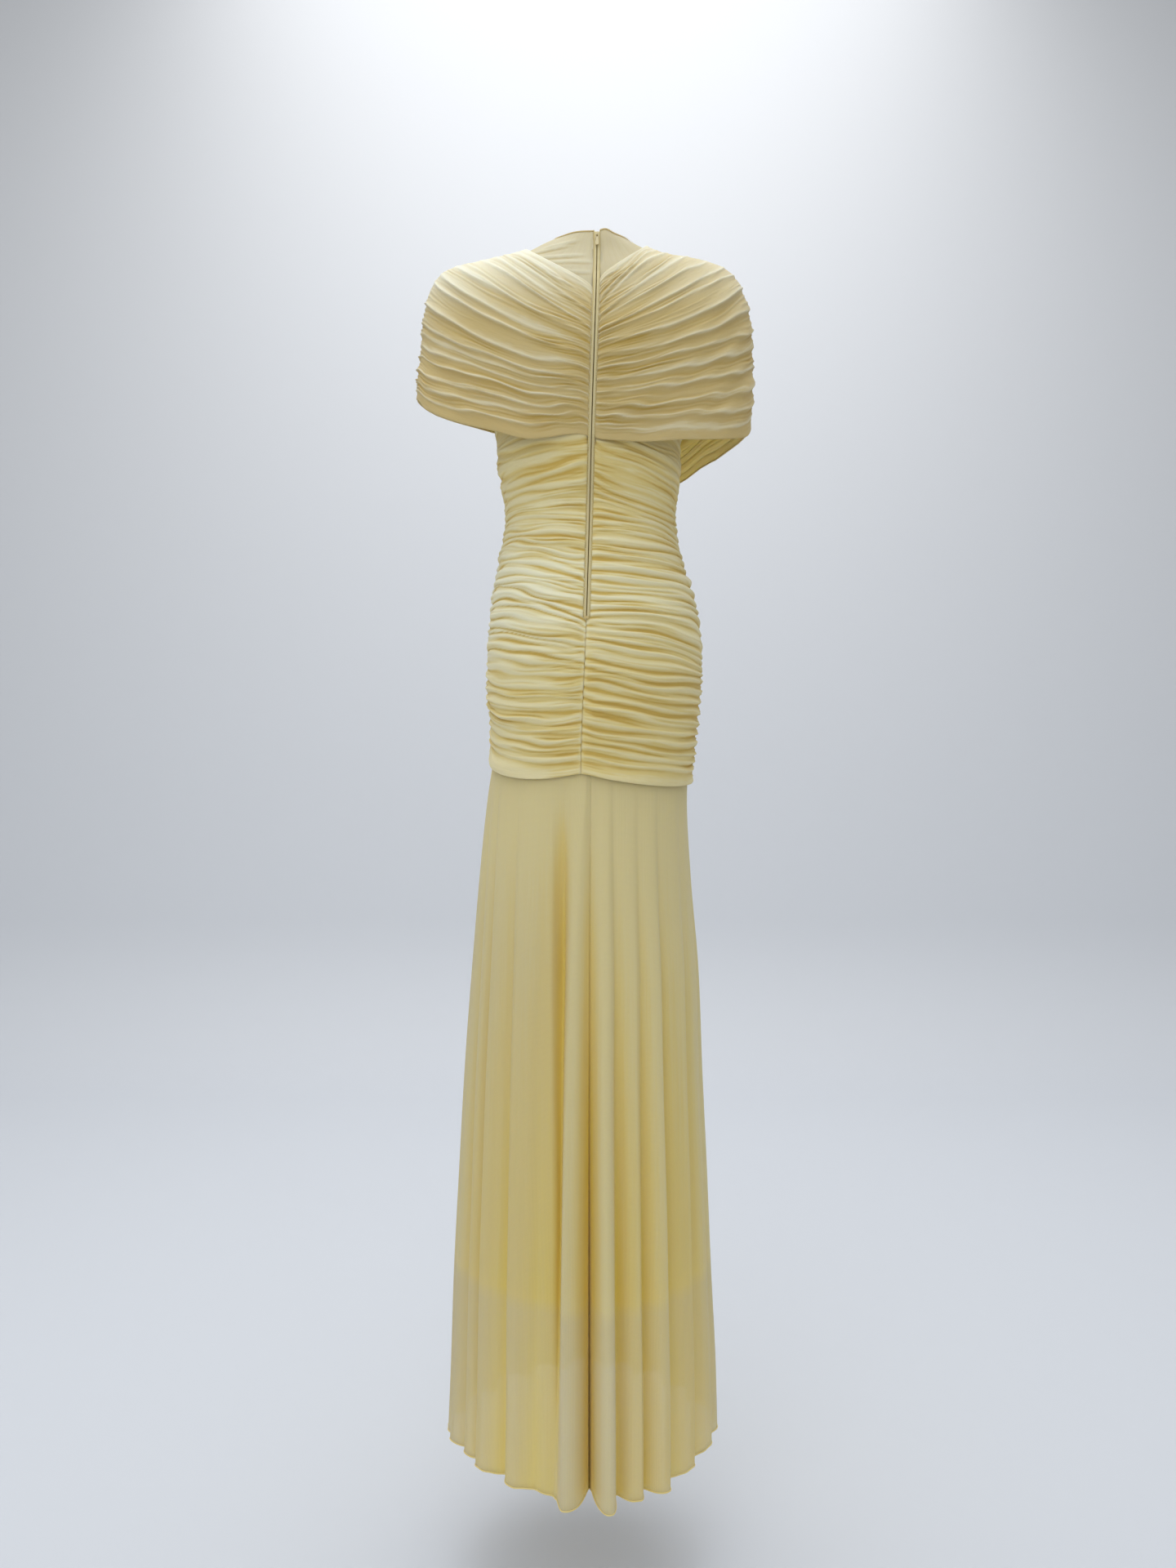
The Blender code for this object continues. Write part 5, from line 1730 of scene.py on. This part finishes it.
@dataclass
class BackZip:
    """Centre back zip: stitched welts, tapes, teeth, stop, slider and pull tab."""

    nodes: dict[str, Object]
    welt_finish: Material
    shaded_tape_finish: Material
    thread: Material
    metal: Material
    stitches: StitchRun
    rows: int = 320
    close_up: float = 0.0003
    narrower: float = 0.0005
    seam_place: float = 0.50
    welt_thickness: float = 0.0004
    tape_thickness: float = 0.0005
    rounding: float = 0.00018
    seam_stitch: Stitch = Stitch(0.0030, 0.0021, 0.00042)
    tooth: Stitch = Stitch(0.0013, 0.0008, 0.0022)

    def build(self) -> None:
        """Make every piece of the zip."""
        for side in Side:
            line = self.welt(side)
            name = f"zip_welt_{side.word}_stitches"
            declare(self.stitches.sew(name, line, self.seam_stitch, self.thread))
            self.tape(side)
        self.teeth()
        self.softened("zip_stop", BODY, self.welt_finish)
        self.softened("zip_slider", BODY, self.metal)
        self.softened("zip_pull", PULL_BODY, self.metal)

    def sections(self, node: str) -> Array:
        """Read the corners of a strip's sections from the top down.

        Args:
            node: Node of the strip.

        Returns:
            Array of sections, each with four corners, ordered by x and then y.
        """
        corners = np.array([tuple(v.co) for v in self.nodes[node].data.vertices])
        corners = np.unique(np.round(corners, 6), axis=0)
        order = np.lexsort((corners[:, 1], corners[:, 0], -np.round(corners[:, 2], 5)))
        return corners[order].reshape(-1, 4, 3)

    def resampled(self, x: Array, y: Array, z: Array) -> Array:
        """Read a line at even heights.

        Args:
            x: Line's places across.
            y: Its places from front to back.
            z: Its heights.

        Returns:
            Points of the line at even heights.
        """
        heights = np.linspace(z[0], z[-1], self.rows)
        order = np.argsort(z)
        read = [np.interp(heights, z[order], values[order]) for values in (x, y)]
        return np.column_stack((*read, heights))

    def welt(self, side: Side) -> Array:
        """Make one welt: a folded edge with small puckers from its stitching.

        Args:
            side: Half of the back.

        Returns:
            The line of its stitches.
        """
        sections = self.sections(f"zip_welt_{side.word}")
        low_x, high_x = sections[:, 0, 0].copy(), sections[:, -1, 0].copy()
        if side is Side.LEFT:
            low_x -= self.close_up
            high_x -= self.narrower
        else:
            high_x += self.close_up
            low_x += self.narrower
        z = sections[:, 0, 2]
        middle = self.resampled((low_x + high_x) / 2, sections[:, :, 1].max(axis=1), z)
        base = self.resampled(low_x, sections[:, :, 1].min(axis=1), z)[:, 1]
        half = float((high_x - low_x).mean() / 2)
        turns = np.linspace(-1.0, 1.0, 13)
        profile = (1 - np.abs(turns) ** 6.0) ** 0.45
        t, s = np.meshgrid(turns, middle[:, 2])
        pucker = 0.00016 * ripple(101 + side.value, t * 0.6, s / 0.009, 9)
        groove = -0.00038 * np.exp(-((t * side.value - self.seam_place) / 0.15) ** 2)
        x = middle[:, :1] + t * half
        y = base[:, None] + (middle[:, 1:2] - base[:, None]) * profile + pucker + groove * profile
        # Painted shade: deeper colour where the welt rolls down at its edges and in its stitched groove
        cloth = Cloth(np.stack((x, y, s), axis=-1), np.clip(1.0 - profile - groove * 2200, 0.0, 1.0))
        piece = cloth.to_object(f"zip_welt_{side.word}_cloth", self.welt_finish, self.welt_thickness)
        declare(piece, [f"zip_welt_{side.word}"])
        return middle + (self.seam_place * side.value * half, -0.00022, 0.0)

    def tape(self, side: Side) -> None:
        """Make one tape with a woven edge.

        Args:
            side: Half of the back.
        """
        sections = self.sections(f"zip_tape_{side.word}")
        z = sections[:, 0, 2]
        low, high = (self.resampled(sections[:, i, 0], sections[:, i, 1], z)[::4, None] for i in (0, 3))
        share = np.linspace(0.0, 1.0, 9)[None, :, None]
        points = low * (1 - share) + high * share
        points[..., 1] += 0.00008 * np.sin(np.linspace(0, 6 * math.pi, 9))
        node = f"zip_tape_{side.word}"
        piece = Cloth(points, 0.3).to_object(node + "_cloth", self.shaded_tape_finish, self.tape_thickness)
        declare(piece, [node])

    def teeth(self) -> None:
        """Make the coil's teeth between the tapes, on the inside."""
        sections = self.sections("zip_tape_left")
        inner = sections[:, :, 1].min(axis=1)
        line = self.resampled(sections[:, 0, 0] - 0.0002, inner - 0.0005, sections[:, 0, 2])
        declare(self.stitches.sew("zip_teeth", line, self.tooth, self.metal))

    def softened(self, node: str, body: str, finish: Material) -> None:
        """Copy a small CAD piece and round its edges.

        Args:
            node: Node that the piece stands for.
            body: Body that it rides on.
            finish: Finish of the piece.
        """
        bm = bmesh.new()
        bm.from_mesh(self.nodes[node].data)
        bmesh.ops.remove_doubles(bm, verts=bm.verts, dist=0.000002)
        bmesh.ops.dissolve_limit(bm, angle_limit=math.radians(2), verts=bm.verts, edges=bm.edges)
        mesh = bpy.data.meshes.new(node + "_piece")
        bm.to_mesh(mesh)
        bm.free()
        flat_layers(mesh, 0.3)
        mesh.materials.clear()
        mesh.materials.append(finish)
        obj = add_object(node + "_piece", mesh)
        bevel = obj.modifiers.new("rounded_edges", "BEVEL")
        bevel.width = self.rounding
        bevel.segments = 3
        bevel.limit_method = "ANGLE"
        bevel.angle_limit = math.radians(35)
        declare(obj, [node], body)


@dataclass
class Studio:
    """Pale floor and backdrop, soft light and the camera at the photo's angle."""

    camera_place: Triple = (0.0042, 1.406, -0.688)
    lens: float = 24.94
    floor_z: float = -1.69
    wall_y: float = -2.60
    room_strength: float = 0.50
    below: Triple = (0.48, 0.465, 0.44)
    level: Triple = (0.675, 0.66, 0.63)
    above: Triple = (1.35, 1.42, 1.52)
    floor_colour: tuple[float, ...] = (0.74, 0.76, 0.79, 1.0)

    def build(self) -> None:
        """Make the camera first, then the stage and the lights."""
        camera = bpy.data.cameras.new("camera")
        camera.lens = self.lens
        camera.sensor_width = 36.0
        camera.clip_start = 0.01
        eye = add_object("camera", camera)
        eye.location = self.camera_place
        eye.rotation_euler = (math.radians(90), 0.0, math.radians(180))
        bpy.context.scene.camera = eye
        bpy.context.scene.view_settings.view_transform = "Standard"
        self.add_stage()
        self.add_light("top_light", (0.15, 0.45, 1.30), (0.0, 0.05, -0.5), 1.5, 11.0, (0.92, 0.98, 1.08))
        self.add_light("front_light", (0.50, 2.25, 0.3), (0.0, 0.0, -0.9), 2.0, 12.5, (0.97, 0.98, 1.0))
        self.add_light("side_fill", (1.9, 1.3, -0.6), (0.0, 0.0, -0.9), 1.6, 1.6, (0.96, 0.98, 1.02))
        self.add_light("wall_light", (0.0, -1.2, 1.9), (0.0, -2.6, -0.2), 2.8, 38.0, (1.0, 0.99, 0.98))
        bpy.context.scene.world = self.room()

    def room(self) -> World:
        """Make the room's even light, cool and strong from above and warm and weak from below.

        Returns:
            The world with the light.
        """
        world = bpy.data.worlds.new("soft_room")
        world.use_nodes = True
        wires = Wiring(world.node_tree)
        parts = wires.add("SeparateXYZ", {0: wires.add("TexCoord").outputs["Generated"]})
        height = wires.add("MapRange", {"From Min": -1.0, "Value": parts.outputs["Z"]}).outputs["Result"]
        colour = wires.ramp(height, ((0.0, self.below), (0.5, self.level), (1.0, self.above)))
        wires.feed(world.node_tree.nodes["Background"], {"Color": colour, "Strength": self.room_strength})
        return world

    def add_stage(self) -> None:
        """Make the floor, which curves up into a plain backdrop."""
        bm = bmesh.new()
        profile = [(3.5, 0.0), (0.5, 0.0), (self.wall_y + 0.5, 0.0)]
        for step in range(1, 9):
            turn = math.pi / 2 * step / 8
            profile.append((self.wall_y + 0.5 - 0.5 * math.sin(turn), 0.5 - 0.5 * math.cos(turn)))
        profile.append((self.wall_y, 4.0))
        rows = [[bm.verts.new((x, y, self.floor_z + z)) for x in (-4.0, 4.0)] for y, z in profile]
        for near, far in zip(rows, rows[1:]):
            bm.faces.new((near[0], near[1], far[1], far[0]))
        bmesh.ops.recalc_face_normals(bm, faces=bm.faces)
        mesh = bpy.data.meshes.new("pale_floor")
        bm.to_mesh(mesh)
        bm.free()
        mesh.shade_smooth()
        finish, _, _ = new_material("pale_floor", {"Base Color": self.floor_colour, "Roughness": 0.9})
        mesh.materials.append(finish)
        add_object("pale_floor", mesh)

    def add_light(self, name: str, place: Triple, aim: Triple, size: float, power: float,
                  colour: Triple) -> None:
        """Add one soft square light.

        Args:
            name: Name of the light.
            place: Where it stands.
            aim: Point that it faces.
            size: Length of its side.
            power: Power in watts.
            colour: Colour of the light.
        """
        data = bpy.data.lights.new(name, "AREA")
        data.size = size
        data.energy = power
        data.color = colour
        light = add_object(name, data)
        light.location = place
        light.rotation_euler = (Vector(aim) - Vector(place)).to_track_quat("-Z", "Y").to_euler()


def main() -> None:
    """Build the dress around its frame."""
    logging.basicConfig(level=logging.INFO, format="%(name)s: %(message)s")
    for obj in list(bpy.data.objects):
        bpy.data.objects.remove(obj, do_unlink=True)
    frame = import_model()
    Studio().build()
    finishes = Wardrobe()
    stitches = StitchRun()
    skirt = Skirt(finishes.sheer)
    Bodice(finishes.ruched).build()
    ShoulderDrape(finishes.drape, finishes.drape_inside).build()
    Yoke(finishes.yoke, finishes.welt, stitches, finishes.thread).build()
    skirt.build()
    Lining(finishes.lining, skirt).build()
    BackZip(frame["nodes"], finishes.welt, finishes.tape, finishes.thread, finishes.metal, stitches).build()


if __name__ == "__main__":
    main()
